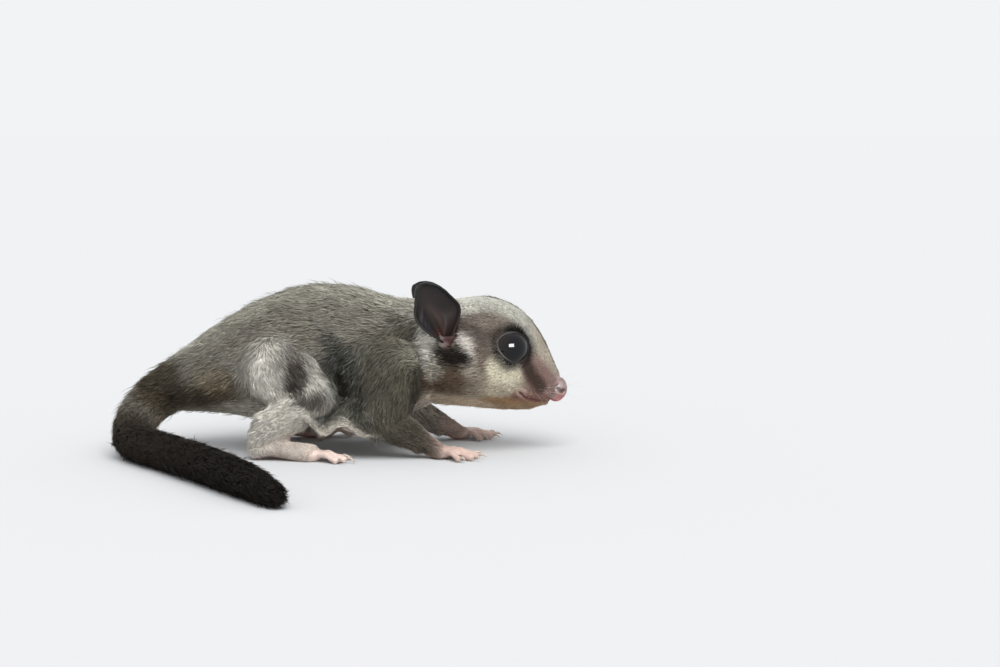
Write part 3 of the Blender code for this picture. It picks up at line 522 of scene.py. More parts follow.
STRIPES = [
    ("crown_stripe",
     [(44, 0, 16.5), (41.4, 0, 25.5), (39, 0, 30.5), (34, 0, 33.2), (28, 0, 34.4), (16, 0, 33.6)],
     1.3, "#453f34", 0.95),
    ("back_stripe",
     [(16, 0, 33.6), (6, 0, 35), (-6, 0, 35.6), (-20, 0, 32), (-32, 0, 25.4)], 1.6, "#68635a", 0.6),
    ("eye_to_ear", [(31.4, 9.6, 25.6), (28, 9.8, 26), (24.6, 9.6, 28.2)], 1.7, "#665a51", 0.85),
    ("eye_to_nose", [(37.9, 7.8, 20.4), (39.4, 6.4, 17), (41.2, 4.6, 14.4)], 1.6, "#43342e", 0.9),
    # partly painted shade: a dark band down the flank behind the front leg, partly the coat's own colour
    ("flank_dark_and_shade", [(-3.6, 13, 25), (-0.4, 13, 18), (2.4, 13, 10)], 2.5, "#3a3a32", 0.75),
]
WANDER = np.array([(1.1, 0.7, -0.9), (-0.8, 1.2, 0.6), (0.9, -0.6, 1.3)])  # radians a millimetre
PATCH_EDGE, STRIPE_EDGE = (1.25, 0.5), (1.4, 0.8)  # where it ends and how softly, in half sizes
PALER_PATCH, PALER_STRIPE = 1.25, 1.3  # the tips of the hairs in it


def markings_and_painted_light(points, colour, tips):
    """The coat's colours under the patches, whose edges wander by half a millimetre, and the stripes."""
    straight = points * (1, 0, 1) + np.abs(points) * (0, 1, 0)
    wandering = straight + 0.35 * np.sin(points @ WANDER) + 0.2 * np.sin(points @ WANDER.T * 2.7 + 1.3)
    layers = []
    for name, middle, sizes, code, strength in PATCHES:
        away = np.linalg.norm((wandering - middle) / sizes, axis=1)
        layers.append((away, PATCH_EDGE, strength, code, PALER_PATCH))
    for name, line, half, code, strength in STRIPES:
        layers.append((gap_to(straight, line) / half, STRIPE_EDGE, strength, code, PALER_STRIPE))
    for away, (end, soft), strength, code, paler in layers:
        cover = strength * np.clip((end - away) / soft, 0, 1)[:, None]
        colour = colour * (1 - cover) + linear(code) * cover
        tips = tips * (1 - cover) + linear(code) * paler * cover
    return colour, tips


def paint(mesh, colours):
    """Stores a colour at each of the mesh's points."""
    # the stored colours hold painted shadow, shade and highlight as well as the animal's own markings
    layer = mesh.color_attributes.new("Surface_colours", "FLOAT_COLOR", "POINT")
    opaque = np.hstack([colours, np.ones((len(colours), 1))])
    layer.data.foreach_set("color", opaque.astype(np.float32).ravel())


def laid(colour, code, cover):
    """A colour laid over another where cover, from 0 to 1, says."""
    cover = np.clip(cover, 0, 1)[:, None]
    return colour * (1 - cover) + linear(code) * cover


def shown(name, roughness, gloss=0.5):
    """A new material of this name, its node tree and its shader."""
    material = bpy.data.materials.new(name)
    material.use_nodes = True
    shader = material.node_tree.nodes["Principled BSDF"]
    shader.inputs["Roughness"].default_value = roughness
    shader.inputs["Specular IOR Level"].default_value = gloss
    return material, material.node_tree, shader


def add_node(tree, kind, links=(), **settings):
    """Adds a node with its settings, which are properties or sockets, and the links that end in it."""
    node = tree.nodes.new("ShaderNode" + kind)
    for name, value in settings.items():
        if hasattr(node, name):
            setattr(node, name, value)
        else:
            node.inputs[name.replace("_", " ")].default_value = value
    for source, socket in links:
        tree.links.new(source, node.inputs[socket])
    return node


def relief(tree, shader, texture, strength, depth):
    """Raises and sinks the surface by up to this depth, in millimetres, as a texture says."""
    bump = add_node(tree, "Bump", [(texture, "Height")], Strength=strength, Distance=depth / 1000)
    tree.links.new(bump.outputs["Normal"], shader.inputs["Normal"])


NOSE, NOSE_PATCH = (45.0, 0, 13.4), (2.4, 3.0, 3.3)  # middle and half sizes of the bare skin round the pad
skin_points = millimetres(skin.data)
skin_normals = normals_of(skin.data)
lie, length, depth, width, coat_base, coat_ends = lie_of_coat(skin_points)
skin_colour = markings_and_painted_light(skin_points, coat_base, coat_ends)[0]
haired = np.clip(depth / 0.12, 0, 1) * (np.linalg.norm((skin_points - NOSE) / NOSE_PATCH, axis=1) > 1)
# painted shade: the skin is darkened by up to 0.3 where the coat covers it
skin_colour = skin_colour * (1 - 0.3 * haired[:, None])
lips = gap_to(skin_points[:, [0, 2]], MOUTH)
skin_colour = laid(skin_colour, "#5c2e27", (skin_points[:, 0] > MOUTH_CORNER) * bell(lips, 0.36))
# painted shade: the nostrils' openings darkened nearly black
for side in SIDES:
    inside = bell(gap_to(skin_points, line_on(NOSTRIL, side)), 0.8)
    skin_colour = laid(skin_colour, "#1d0e0c", 1.5 * inside)
canal = bell(gap_to(skin_points * (1, 0, 1), CANAL), CANAL_BARE)
canal *= np.abs(skin_points[:, 1]) > CANAL_FROM
skin_colour = laid(skin_colour, "#4a2620", 1.3 * canal)
for side in SIDES:
    from_eye = (skin_points - sided(EYE, side)) @ eye_turn(side).T
    near = np.linalg.norm(from_eye, axis=1) < EYE_RADIUS + 0.9
    size = opened(from_eye)
    skin_colour = laid(skin_colour, "#0a0807", near * (1.45 - size) / 0.25)
    # painted highlight: a thin pale line of light along the wet lid margin
    wet = np.clip(0.5 + (from_eye[:, 0] * 0.6 - from_eye[:, 1]) / 5, 0, 1)  # most along the lower lid
    skin_colour = laid(skin_colour, "#77726d", near * 0.3 * wet * bell(size - 0.95, 0.018))
paint(skin.data, skin_colour)

hide, tree, shader = shown("thin_hide", 0.55, gloss=0.25)  # soft, faintly greasy and finely creased
BLOTCHES, CREASES = 1.4, 2.6  # to the millimetre
marks = add_node(tree, "Attribute", attribute_name="Surface_colours")
place = add_node(tree, "TexCoord")
mottle = add_node(tree, "TexNoise", [(place.outputs["Object"], "Vector")], Scale=1000 * BLOTCHES, Detail=3)
shade = add_node(tree, "MapRange", [(mottle.outputs["Fac"], "Value")], To_Min=0.78, To_Max=1.18)
ends = [(marks.outputs["Color"], 0), (shade.outputs["Result"], "Scale")]
mixed = add_node(tree, "VectorMath", ends, operation="SCALE")
creases = add_node(tree, "TexVoronoi", [(place.outputs["Object"], "Vector")], Scale=1000 * CREASES)
tree.links.new(mixed.outputs["Vector"], shader.inputs["Base Color"])
relief(tree, shader, creases.outputs["Distance"], 0.35, 0.06)
skin.data.materials.clear()
skin.data.materials.append(hide)
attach(skin, "root")
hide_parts(*FLESH)

# Eyes
# A night animal's big round eyes: a pupil so wide that hardly any dark brown iris shows round it, under
# a clear wet cornea. They stay balls of their own behind the lids.
CORNEA_BULGE, IRIS_REACH = 0.03, 4.4  # as a share of the radius, and from the middle of the cornea
for side in SIDES:
    bpy.ops.object.select_all(action="DESELECT")
    bpy.ops.mesh.primitive_uv_sphere_add(segments=72, ring_count=48, radius=EYE_RADIUS / 1000)
    eye = bpy.context.object
    eye.name = eye.data.name = side + "_eyeball"
    points = read(eye.data.vertices, "co", 3).astype(float) * 1000
    bulge = np.clip((points[:, 2] / EYE_RADIUS - 0.55) / 0.45, 0, 1)
    points *= 1 + CORNEA_BULGE * (bulge * bulge * (3 - 2 * bulge))[:, None]
    points = points @ eye_turn(side) if side == "right" else (points * (-1, 1, 1)) @ eye_turn(side)
    move_to(eye.data, np.array(sided(EYE, side)) + points)
    eye.data.shade_smooth()
    eyeball, tree, shader = shown("wet_dark_cornea", 0.06)  # near black and the glossiest of all
    place = add_node(tree, "TexCoord")
    middle = metres(np.array(sided(EYE, side)) + np.array((0, 0, EYE_RADIUS)) @ eye_turn(side))
    away = add_node(tree, "VectorMath", [(place.outputs["Object"], 0)], operation="DISTANCE")
    away.inputs[1].default_value = middle
    scaled = add_node(tree, "MapRange", [(away.outputs["Value"], "Value")], From_Max=IRIS_REACH / 1000)
    ring = add_node(tree, "ValToRGB", [(scaled.outputs["Result"], "Fac")])
    ring.color_ramp.elements[0].position = 0.45
    ring.color_ramp.elements[0].color = (*linear("#07080c"), 1)
    ring.color_ramp.elements[1].position = 0.85
    ring.color_ramp.elements[1].color = (*linear("#1f1612"), 1)
    tree.links.new(ring.outputs["Color"], shader.inputs["Base Color"])
    shader.inputs["IOR"].default_value = 1.376
    eye.data.materials.append(eyeball)
    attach(eye, "root")
    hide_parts(side + "_eye")

# Nose
# A bare, damp pad of finely pebbled pink-grey skin round two comma-shaped nostrils, with a groove down
# its middle to the lip.
PAD_SWELL = 0.14  # over the solid, up to the coat beside it
NOSTRIL_DEPTH, NOSTRIL_WIDTH, GROOVE_DEPTH = 0.5, 0.45, 0.4
PEBBLES = 3.4  # to the millimetre
nose = copy_of("nose_pad", "nose")
finish_with(nose, "REMESH", mode="VOXEL", voxel_size=0.14 / 1000)
finish_with(nose, "SMOOTH", iterations=10, factor=0.5)
points, normals = millimetres(nose.data), normals_of(nose.data)
swell = np.full(len(points), PAD_SWELL)
hollow = np.zeros(len(points))
for side in SIDES:
    curl = gap_to(points, line_on(NOSTRIL, side))
    swell -= NOSTRIL_DEPTH * bell(curl, NOSTRIL_WIDTH) - 0.06 * bell(curl - 0.8, 0.35)  # and a low rim
    hollow = np.maximum(hollow, bell(curl, NOSTRIL_WIDTH))
swell -= GROOVE_DEPTH * bell(points[:, 1], 0.26) * (points[:, 0] > 45)
move_to(nose.data, points + normals * swell[:, None])
finish_with(nose, "SMOOTH", iterations=2, factor=0.4)
nose.data.shade_smooth()
points = millimetres(nose.data)
colour = np.tile(linear("#8a7672"), (len(points), 1))
colour = laid(colour, "#a9605a", (13.0 - points[:, 2]) / 2.2)
colour = laid(colour, "#75625c", (points[:, 2] - 14.2) / 1.4)
# painted shade: the nostril pits darkened nearly black
colour = laid(colour, "#2a1613", 1.3 * hollow)
paint(nose.data, colour)
damp, tree, shader = shown("damp_nose_leather", 0.42)  # finely pebbled, with a soft shine
marks = add_node(tree, "Attribute", attribute_name="Surface_colours")
place = add_node(tree, "TexCoord")
pebbles = add_node(tree, "TexVoronoi", [(place.outputs["Object"], "Vector")], Scale=1000 * PEBBLES)
tree.links.new(marks.outputs["Color"], shader.inputs["Base Color"])
relief(tree, shader, pebbles.outputs["Distance"], 0.5, 0.08)
nose.data.materials.append(damp)
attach(nose, "root")
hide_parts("nose")

# Ears
# Thin, bare, upright leaves of dark skin, rolled at the rim, with ribs of gristle low down inside and a
# dark hollow at the root where they curl into a funnel.
EAR_ROOT, EAR_TIP, EAR_TIP_BACK = (21.3, 9.5, 25.0), (15.5, 13.4, 36.9), 2.2
EAR_FACING = (0.42, 0.86, 0.18)
EAR_SUNK, EAR_WALL = 0.9, 0.4
EAR_FOLD, EAR_RIM, RIB_HEIGHT, RIDGE_HEIGHT = 0.9, 0.22, 0.75, 0.6
RIBS = (0.2, 0.3, 0.4, 0.5)  # share of the way to the tip
ROWS, SPANS = 40, 34
VEINS = 0.65  # to the millimetre
EAR_FRONT = {"right": 1.7, "left": 0.9}  # how far the front edge bows out low down
EAR_FORM = [  # share of the way to the tip, half width, depth of the cup
    (0, 1.3, 2.8), (0.1, 2.2, 3.2), (0.2, 3.15, 3.4), (0.3, 3.95, 3.3), (0.42, 4.65, 3), (0.55, 5, 2.5),
    (0.68, 4.85, 2), (0.8, 4.15, 1.5), (0.9, 3.05, 1.1), (0.97, 1.75, 0.7), (1, 0.2, 0.5),
]
for side in SIDES:
    root, tip = Vector(sided(EAR_ROOT, side)), Vector(sided(EAR_TIP, side))
    if side == "left":
        tip += Vector((-EAR_TIP_BACK, 0, -EAR_TIP_BACK))
    axis = tip - root
    tall = axis.length
    axis.normalize()
    out = Vector(sided(EAR_FACING, side))
    out = (out - axis * out.dot(axis)).normalized()
    ahead = axis.cross(out) * -SIDES[side]
    form = np.array(EAR_FORM)
    grid, colour = [], []
    for row in range(ROWS + 1):
        share = math.sin(row / ROWS * math.pi / 2)
        half, cup = (np.interp(share, form[:, 0], form[:, column]) for column in (1, 2))
        for span in range(SPANS + 1):
            aside = 2 * span / SPANS - 1
            sunk = EAR_SUNK * max(0.0, 1 - share / 0.3) ** 2
            lift = cup * (aside**2 - 0.6) - sunk
            shift = half * aside + EAR_FRONT[side] * max(0, aside) * math.exp(-(((share - 0.32) / 0.2) ** 2))
            # the hind edge folds over towards the tip, and the rim rolls in all round
            fold = math.exp(-(((share - 0.86) / 0.16) ** 2)) * max(0.0, -aside - 0.45) / 0.55
            lift += EAR_FOLD * fold
            shift += EAR_FOLD * fold**1.5
            rolled = max(0.0, abs(aside) - 0.9) / 0.1
            lift += EAR_RIM * rolled
            shift -= math.copysign(0.25 * rolled, aside)
            ribs = 0.0
            for middle in RIBS:
                slope = (share - middle) - 0.25 * (aside + 0.6)
                ribs += math.exp(-((slope / 0.03) ** 2)) * math.exp(-(((aside + 0.55) / 0.27) ** 2))
            ridge = math.exp(-(((aside - 0.35 + 0.5 * share) / 0.16) ** 2) - ((share - 0.3) / 0.28) ** 2)
            lift += RIB_HEIGHT * ribs + RIDGE_HEIGHT * ridge
            grid.append(root + axis * (tall * share) + ahead * shift + out * lift)
            funnel = ((share - 0.05) / 0.14) ** 2 + (aside / 0.6) ** 2
            tint = np.array([linear("#1d1512")])
            for code, cover in (
                ("#0b0909", (abs(aside) - 0.45) / 0.5 + (share - 0.75) / 0.5),  # the rim and the tip
                ("#23232b", 0.9 * ribs),
                ("#3b2820", 0.8 * ridge),
                ("#3a1d18", 1.2 * math.exp(-funnel)),
            ):
                tint = laid(tint, code, np.array([cover]))
            colour.append(tint[0])
    faces = strips(ROWS + 1, SPANS + 1, closed=False)
    if side == "right":
        faces = [face[::-1] for face in faces]
    ear = new_piece(side + "_ear_leaf", [list(spot) for spot in grid], faces)
    paint(ear.data, np.array(colour))
    finish_with(ear, "SMOOTH", iterations=2, factor=0.5)
    finish_with(ear, "SOLIDIFY", thickness=EAR_WALL / 1000, offset=0)
    finish_with(ear, "BEVEL", width=0.12 / 1000, segments=2, limit_method="ANGLE")
    ear.data.shade_smooth()
    leaf, tree, shader = shown("dark_ear_skin", 0.5, gloss=0.3)  # bare, waxy and finely veined
    marks = add_node(tree, "Attribute", attribute_name="Surface_colours")
    place = add_node(tree, "TexCoord")
    at_place = [(place.outputs["Object"], "Vector")]
    veins = add_node(tree, "TexNoise", at_place, Scale=1000 * VEINS, Detail=4, Roughness=0.6)
    tree.links.new(marks.outputs["Color"], shader.inputs["Base Color"])
    relief(tree, shader, veins.outputs["Fac"], 0.4, 0.22)
    ear.data.materials.append(leaf)
    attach(ear, "root")
    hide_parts(side + "_ear")

# Claws
# Short curved claws of pale horn, one on each digit but the big toe, growing out of the skin.
CLAW_LENGTH, CLAW_RADIUS, CLAW_NARROW, CLAW_CORNERS = 1.9, 0.34, 0.8, 8
CLAW_STEPS = [  # share of its length, height and girth
    (-0.1, 0.95, 1.0), (0.25, 1.12, 0.95), (0.5, 1.12, 0.78), (0.75, 0.86, 0.52), (1.0, 0.42, 0.14),
]


def grained(name, grains, detail, dark, pale, roughness):
    """A smooth material whose colour changes unevenly, with this many grains to the millimetre."""
    material, tree, shader = shown(name, roughness)
    place = add_node(tree, "TexCoord")
    at_place = [(place.outputs["Object"], "Vector")]
    grain = add_node(tree, "TexNoise", at_place, Scale=1000 * grains, Detail=detail)
    tone = add_node(tree, "ValToRGB", [(grain.outputs["Fac"], "Fac")])
    tone.color_ramp.elements[0].color = (*linear(dark), 1)
    tone.color_ramp.elements[1].color = (*linear(pale), 1)
    tree.links.new(tone.outputs["Color"], shader.inputs["Base Color"])
    return material


horn = grained("claw_horn", 2.2, 2, "#8f7f74", "#d2c4b6", 0.3)  # smooth, mottled from grey-brown to pale


def claw(root, turn, reach, radius):
    """The rings of one claw, from the digit's end to the tip."""
    along = np.array((math.cos(turn), math.sin(turn), 0))
    beside = np.array((-math.sin(turn), math.cos(turn), 0))
    start = np.array((root[0], root[1], 0)) + along * reach
    rings = []
    for share, height, girth in CLAW_STEPS:
        middle = start + along * (radius + CLAW_LENGTH * share - 0.2) + (0, 0, height)
        rings.append([])
        for angle in np.arange(CLAW_CORNERS) * 2 * math.pi / CLAW_CORNERS:
            away = beside * CLAW_NARROW * math.cos(angle) + np.array((0, 0, 1)) * math.sin(angle)
            rings[-1].append(middle + CLAW_RADIUS * girth * away)
    return rings


for side in SIDES:
    for paw in ("hand", "foot"):
        claws = [claw(*digit) for digit in digits_of(side, paw) if digit[3] < BIG_TOE[2]]
        spots, faces = [], []
        for rings in claws:
            base = len(spots)
            spots += [spot for ring in rings for spot in ring]
            faces += strips(len(rings), CLAW_CORNERS, base=base)
            faces.append(tuple(reversed(range(base, base + CLAW_CORNERS))))
            faces.append(tuple(range(len(spots) - CLAW_CORNERS, len(spots))))
        piece = new_piece(side + "_" + paw + "_claws", spots, faces)
        finish_with(piece, "SUBSURF", levels=1, render_levels=1)
        all_over(piece, bpy.ops.mesh.normals_make_consistent, inside=False)
        piece.data.shade_smooth()
        piece.data.materials.append(horn)
        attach(piece, "root")

# Coat
# Thousands of fine pointed tufts over the whole skin, each bending back along the lie of the coat and
# overlapping the next: woolly on the body, close and tiny on the face and feet. They grow from the skin
# and clump at their tips, and each part of the animal has its own piece.
COVER = (1.7, 3.6)  # how many times over the tufts cover the skin, where they are short and where long
BARE = 0.035  # no tufts where the coat is less deep than this, and few up to twice as deep
CLUMP = 22  # tufts that lean together
GUARD_SHARE, GUARD_LENGTH, GUARD_RISE = 0.03, 1.3, 1.5  # the few longer guard hairs
FLANK = [(-4, 0, 25), (-0.4, 0, 18), (3, 0, 9)]  # the dark flank, with pale hairs strewn over it
WAVES = [((0.55, 0.8, 0.35), 0), ((-0.7, 0.45, 0.9), 1.7), ((1.3, -0.6, 1.1), 4)]  # radians a millimetre
TUFT = np.array([(0, 2, 1), (0, 3, 2), (0, 1, 3), (1, 2, 4), (2, 3, 4), (3, 1, 4)])
PATCH = 0.003  # a tuft's place on the unwrap
BURIED, FLOOR = 0.1, 0.03  # how deep a tuft is rooted, and how low it may reach
chance = np.random.default_rng(6901)
skin.data.calc_loop_triangles()
corners = read(skin.data.loop_triangles, "vertices", 3, np.int32)
loops = read(skin.data.loop_triangles, "loops", 3, np.int32)
unwrap = read(skin.data.uv_layers["OFBake"].data, "uv", 2)[loops].astype(float)
first, second, third = (skin_points[corners[:, i]] for i in range(3))
area = np.linalg.norm(np.cross(second - first, third - first), axis=1) / 2
fine = np.stack([length, depth, width], 1)[corners].mean(1)
crowd = np.interp(fine[:, 0], (0.8, 2.6), COVER) / (0.5 * fine[:, 2] * fine[:, 0])
crowd *= np.clip((fine[:, 1] - BARE) / BARE, 0, 1)
expected = np.cumsum(area * crowd)
count = int(expected[-1])
picked = np.searchsorted(expected, (np.arange(count) + chance.random(count)) * expected[-1] / count)
picked = np.minimum(picked, len(corners) - 1)
share = np.sqrt(chance.random(count))
other = chance.random(count)
mix = np.stack([1 - share, share * (1 - other), share * other], 1)


def at_roots(values):
    """Values of the skin's points, carried over to the tufts' roots."""
    return (np.asarray(values)[corners[picked]] * mix[..., None]).sum(1)


def unit(rows, least=0):
    return rows / (np.linalg.norm(rows, axis=1)[:, None] + least)


def square_to(rows, axis):
    """What is left of these directions without their share along the axis."""
    return rows - axis * (rows * axis).sum(1)[:, None]


root = at_roots(skin_points)
up = unit(at_roots(skin_normals))
back = at_roots(lie)
sizes = at_roots(np.stack([length, depth, width], 1))
patch = (unwrap[picked] * mix[..., None]).sum(1)
colour, tips = at_roots(coat_base), at_roots(coat_ends)

# no hair grows within the eyes' openings, on the nose pad or along the lips
keep = np.ones(count, bool)
for side in SIDES:
    from_eye = (root - sided(EYE, side)) @ eye_turn(side).T
    keep &= ~((np.linalg.norm(from_eye, axis=1) < 5.4) & (opened(from_eye) < 1.0))
keep &= (gap_to(root * (1, 0, 1), CANAL) > CANAL_BARE) | (np.abs(root[:, 1]) < CANAL_FROM)
keep &= np.linalg.norm((root - NOSE) / NOSE_PATCH, axis=1) > chance.uniform(0.9, 1.3, count)
keep &= ~((root[:, 0] > MOUTH_CORNER + 0.4) & (gap_to(root[:, [0, 2]], MOUTH) < 0.35))
kept = [rows[keep] for rows in (root, up, back, sizes, patch, colour, tips)]
root, up, back, sizes, patch, colour, tips = kept
count = len(root)

# each tuft's lie, sway and rise
flat = unit(square_to(back, up), 1e-9)
seen = root + flat * sizes[:, :1] * 0.6 + chance.normal(0, 0.22, (count, 3)) * sizes[:, :1] ** 0.5
colour, tips = markings_and_painted_light(seen, colour, tips)  # as at the place where each tuft is seen
frosted = gap_to(seen * (1, 0, 1), FLANK)
frosted = (chance.random(count) < 0.3 * bell(frosted, 4.5)) & (np.abs(seen[:, 1]) > 9)
tips = np.where(frosted[:, None], linear("#b9bdb9"), tips)
for side in SIDES:  # short, and away from the lids, close round each eye
    from_eye = (root - sided(EYE, side)) @ eye_turn(side).T
    close = (np.linalg.norm(from_eye, axis=1) < 8) * np.clip((1.7 - opened(from_eye)) / 0.5, 0, 1)
    outwards = unit(square_to((from_eye * (1, 1, 0)) @ eye_turn(side), up), 1e-9)
    flat += outwards * close[:, None] * 1.5
    sizes[:, 0] *= 1 - 0.5 * close
    sizes[:, 1] = np.maximum(sizes[:, 1], 0.2 * close)
flat = unit(flat)
beside = np.cross(up, flat)
waves = sum(np.sin(root @ across + start) for across, start in WAVES)
woolly = np.clip((sizes[:, 0] - 1.2) / 2, 0, 1)
veer = np.radians(6 + 8 * woolly) * chance.standard_normal(count) + np.radians(7 * woolly) * waves
flat, beside = (
    flat * np.cos(veer)[:, None] + beside * np.sin(veer)[:, None],
    beside * np.cos(veer)[:, None] - flat * np.sin(veer)[:, None],
)
guard = chance.random(count) < GUARD_SHARE
reach = sizes[:, 0] * chance.uniform(0.65, 1.15, count) * np.where(guard, GUARD_LENGTH, 1)
rise = sizes[:, 1] / sizes[:, 0] * chance.uniform(0.5, 1.3, count) * np.where(guard, GUARD_RISE, 1)
rise = np.clip(rise, 0.02, 0.6)
middle = root + flat * (reach * 0.42)[:, None] + up * (reach * rise * 0.68)[:, None]
tip = root + flat * (reach * 0.97)[:, None] + up * (reach * rise)[:, None]

# one tuft in each clump leads, and those nearest to it lean towards it
leaders = KDTree(count // CLUMP + 1)
for row, place in enumerate(root[::CLUMP]):
    leaders.insert(place, row)
leaders.balance()
leader = np.array([leaders.find(place)[1] for place in root]) * CLUMP
pull = (0.1 + 0.4 * woolly)[:, None] * chance.uniform(0.3, 1, count)[:, None]
gathered = tip[leader] + (root - root[leader]) * 0.4
away = np.linalg.norm(root - root[leader], axis=1)
near = np.clip(1.6 - away / sizes[:, 0], 0, 1)[:, None]
tip += (gathered - tip) * pull * near
middle += (gathered - tip) * pull * near * 0.25

# five points a tuft: its buried root, both edges and the ridge of its widest place, and its tip
root = root - up * BURIED
broad = sizes[:, 2] * chance.uniform(0.75, 1.3, count)
towards = unit(tip - root)
ridge = unit(square_to(up, towards))
edge = np.cross(ridge, towards) * broad[:, None] / 2
ridge = ridge * broad[:, None] * 0.4
spots = np.stack([root, middle + edge, middle + ridge, middle - edge, tip], 1)
spots[..., 2] = np.maximum(spots[..., 2], FLOOR)
x, y, z = root.T
ticks = np.clip(0.2 + 0.2 * (x + 4) / 8, 0.2, 0.45) * np.clip((22 - x) / 3, 0.5, 1)  # most on the arms
bright = (1 + ticks * chance.uniform(-1, 1, count) + 0.05 * waves)[:, None]
bright = np.where(chance.random(count)[:, None] < 0.07, bright * 0.6, bright)
# each tuft is darker at its root: partly the hair's own darker base, partly painted shade deep in the coat
shades = np.stack([colour * 0.7 * bright] + [colour * bright] * 3 + [tips * bright], 1)
maps = patch[:, None, :] + np.array([(0, -0.5), (0.5, 0), (0, 0), (-0.5, 0), (0, 0.5)]) * PATCH

# which part of the animal each tuft belongs to
RUMP, HAUNCH, LEG, ARM, NECK, HEAD, FACE = -38, -26, -2, 3, 6, 18.5, 32  # where each begins or ends
UNDERSIDE, SPINE = 10, 22  # heights
from_tail, aside = gap_to(root, TAIL), np.abs(y)
is_tail = (x < RUMP) & (from_tail < 6.5) | (x < 0) & (y < -5) & (z < 9) & (from_tail < 5.5)
is_head = ~is_tail & (x > HEAD) & (z > 6.5)
is_arm = ~is_tail & ~is_head & (x > ARM) & ((aside > 12.5) | (z < 6))
is_leg = ~is_tail & ~is_head & (x < LEG) & (x > HAUNCH) & ((aside > 12.6) | (z < 4.5))
is_neck = ~(is_tail | is_head | is_arm | is_leg) & (x > NECK)
is_trunk = ~(is_tail | is_head | is_arm | is_leg | is_neck)
PARTS = [
    ("face_coat", is_head & (x > FACE), "face_fur"),
    ("crown_coat", is_head & (x <= FACE), "face_fur"),
    ("neck_coat", is_neck, "grey_brown_fur"),
    ("back_coat", is_trunk & (z > SPINE), "grey_brown_fur"),
    ("side_coat", is_trunk & (z <= SPINE) & (z > UNDERSIDE), "grey_brown_fur"),
    ("belly_coat", is_trunk & (z <= UNDERSIDE), "pale_fur"),
    ("arm_coat", is_arm, "grey_brown_fur"),
    ("leg_coat", is_leg, "pale_fur"),
    ("tail_coat", is_tail, "dark_tail_fur"),
]
downy, tree, shader = shown("downy_fur", 0.8, gloss=0.05)  # fine soft hair, dull, and paler at each tip
marks = add_node(tree, "Attribute", attribute_name="Surface_colours")
tree.links.new(marks.outputs["Color"], shader.inputs["Base Color"])
for name, chosen, slot in PARTS:
    amount = int(chosen.sum())
    mesh = bpy.data.meshes.new(name)
    mesh.vertices.add(amount * 5)
    mesh.vertices.foreach_set("co", metres(spots[chosen].reshape(-1, 3)).astype(np.float32).ravel())
    index = (np.arange(amount)[:, None, None] * 5 + TUFT).astype(np.int32).ravel()
    mesh.loops.add(len(index))
    mesh.loops.foreach_set("vertex_index", index)
    mesh.polygons.add(len(index) // 3)
    mesh.polygons.foreach_set("loop_start", np.arange(0, len(index), 3, dtype=np.int32))
    mesh.update(calc_edges=True)
    layer = mesh.uv_layers.new(name="OFBake")
    layer.data.foreach_set("uv", maps[chosen].reshape(-1, 2)[index].astype(np.float32).ravel())
    paint(mesh, shades[chosen].reshape(-1, 3))
    mesh.shade_smooth()
    coat = put(name, mesh)
    coat.data.materials.append(downy)
    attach(coat, "root")

# Whiskers
# Long springy hairs that thin to nothing, in rows on the muzzle, with a few over each eye and on each
# cheek. They grow from the skin, and are joined into one piece.
WHISKERS = [  # root, way it points, length, and how far the tip bends back and down
    ((43.4, 3.4, 13.8), (0.75, 0.55, 0.25), 13, 2), ((43.2, 3.7, 12.9), (0.8, 0.6, 0.02), 14, 2.4),
    ((42.9, 3.9, 12), (0.75, 0.6, -0.18), 11, 2), ((42.2, 4.4, 13.9), (0.55, 0.8, 0.2), 15, 3),
    ((41.9, 4.7, 12.9), (0.55, 0.85, -0.02), 16, 3.4), ((41.6, 4.8, 12), (0.5, 0.8, -0.2), 12, 2.4),
    ((40.8, 5.3, 13.7), (0.3, 0.95, 0.15), 16, 3.6), ((40.4, 5.6, 12.7), (0.3, 0.95, -0.08), 16, 3.8),
    ((39.4, 6.1, 13.4), (0.1, 1, 0.1), 14, 3.4), ((37.6, 6.4, 28.6), (0.35, 0.5, 0.8), 8, 1.6),
    ((36.6, 7, 28.4), (0.2, 0.6, 0.8), 9, 1.8), ((30.8, 9.8, 15.2), (0.05, 1, -0.2), 9, 2.2),
]
WHISKER_RADIUS, WHISKER_SWEEP = 0.024, (-0.8, 0, -0.6)
SHARES, ANGLES = (-0.03, 0.15, 0.35, 0.55, 0.75, 0.9), (0, 2.1, 4.2)  # of its rings, and of their corners
surface = BVHTree.FromObject(skin, bpy.context.evaluated_depsgraph_get())
spots, faces = [], []
for side in SIDES:
    for start, way, span, bend in WHISKERS:
        start = surface.find_nearest(Vector(metres(sided(start, side))))[0]
        start = np.array(start) * 1000 - ORIGIN
        way = np.array(sided(way, side)) / np.linalg.norm(way)
        sweep = np.array(WHISKER_SWEEP) * bend
        beside = np.cross(way, (0, 0, 1)) / np.linalg.norm(np.cross(way, (0, 0, 1)))
        above = np.cross(beside, way)
        base = len(spots)
        for share in SHARES:
            middle = start + way * span * share + sweep * max(0, share) ** 2
            for angle in ANGLES:
                away = beside * math.cos(angle) + above * math.sin(angle)
                spots.append(middle + away * WHISKER_RADIUS * (1 - 0.8 * max(0, share)))
        spots.append(start + way * span + sweep)
        faces += strips(len(SHARES), 3, base=base)
        faces.append((base + 2, base + 1, base))
        last = len(spots) - 4
        faces += [(last + step, last + (step + 1) % 3, last + 3) for step in range(3)]
whiskers = new_piece("whiskers", spots, faces)
whiskers.data.shade_smooth()
bristle = grained("whisker_bristle", 0.3, 1, "#b9b4ac", "#e8e5e0", 0.4)  # smooth stiff hair, greyish white
whiskers.data.materials.append(bristle)
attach(whiskers, "root")

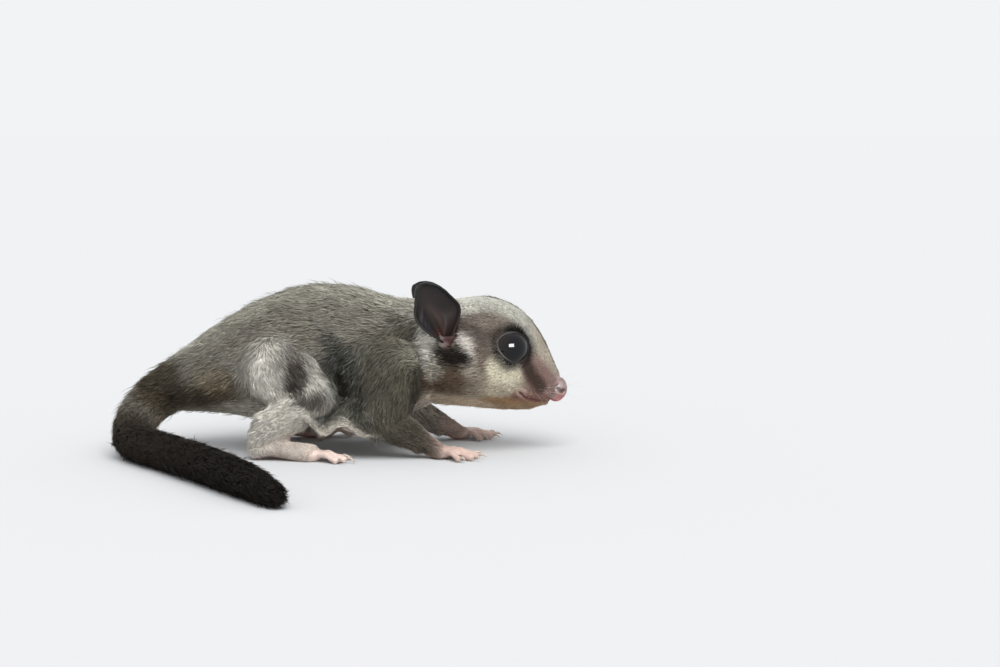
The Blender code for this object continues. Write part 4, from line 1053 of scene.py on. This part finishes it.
# Floor, light and camera
# A plain pale floor under an even pale sky, a soft sun from above and in front, one small window for the
# glint in the eyes, and the photograph's low side view.
WINDOW_PLACE, WINDOW_AIM, WINDOW_SIZE = (110, -330, 150), (33, 0, 22), (0.21, 0.12)
AIM, DISTANCE = np.array((32.6, 0.0, 25.3)), 423  # what the photograph's middle shows, and how far it is
ELEVATION = math.radians(6)


def facing(way):
    return Vector(way).to_track_quat("-Z", "Y").to_euler()


card, tree, shader = shown("pale_card", 0.9, gloss=0.0)  # dull and without any gloss
shader.inputs["Base Color"].default_value = (*linear("#c6c7c8"), 1)
bpy.ops.object.select_all(action="DESELECT")
bpy.ops.mesh.primitive_plane_add(size=40, location=(0, 0, solid_box[0][2]))
floor = bpy.context.object
floor.name = "floor"
floor.data.materials.append(card)

sky = bpy.data.worlds.new("pale_sky")
bpy.context.scene.world = sky
sky.use_nodes = True
sky.node_tree.nodes["Background"].inputs["Color"].default_value = (*linear("#f2f3f5"), 1)
sky.node_tree.nodes["Background"].inputs["Strength"].default_value = 1.0

sun = bpy.data.lights.new("soft_sun", "SUN")
sun.energy = 2.5
sun.angle = math.radians(50)
holder = put("soft_sun", sun)
holder.visible_glossy = False  # only the window glints in the eyes
holder.rotation_euler = facing((-0.2, 0.65, -1))

window = bpy.data.lights.new("window", "AREA")
window.shape = "RECTANGLE"
window.size, window.size_y = WINDOW_SIZE
window.energy = 3.0
holder = put("window", window)
holder.visible_diffuse = False  # it glints, and doesn't light the animal
holder.location = metres(WINDOW_PLACE)
holder.rotation_euler = facing(metres(WINDOW_AIM) - metres(WINDOW_PLACE))

camera = bpy.data.cameras.new("camera")
camera.lens = 70
camera.sensor_width = 36
camera.clip_start = 0.01
eye_point = put("camera", camera)
eye_point.location = metres(AIM + DISTANCE * np.array((0, -math.cos(ELEVATION), math.sin(ELEVATION))))
eye_point.rotation_euler = facing(metres(AIM) - np.array(eye_point.location))
bpy.context.scene.camera = eye_point
bpy.context.scene.view_settings.view_transform = "Standard"
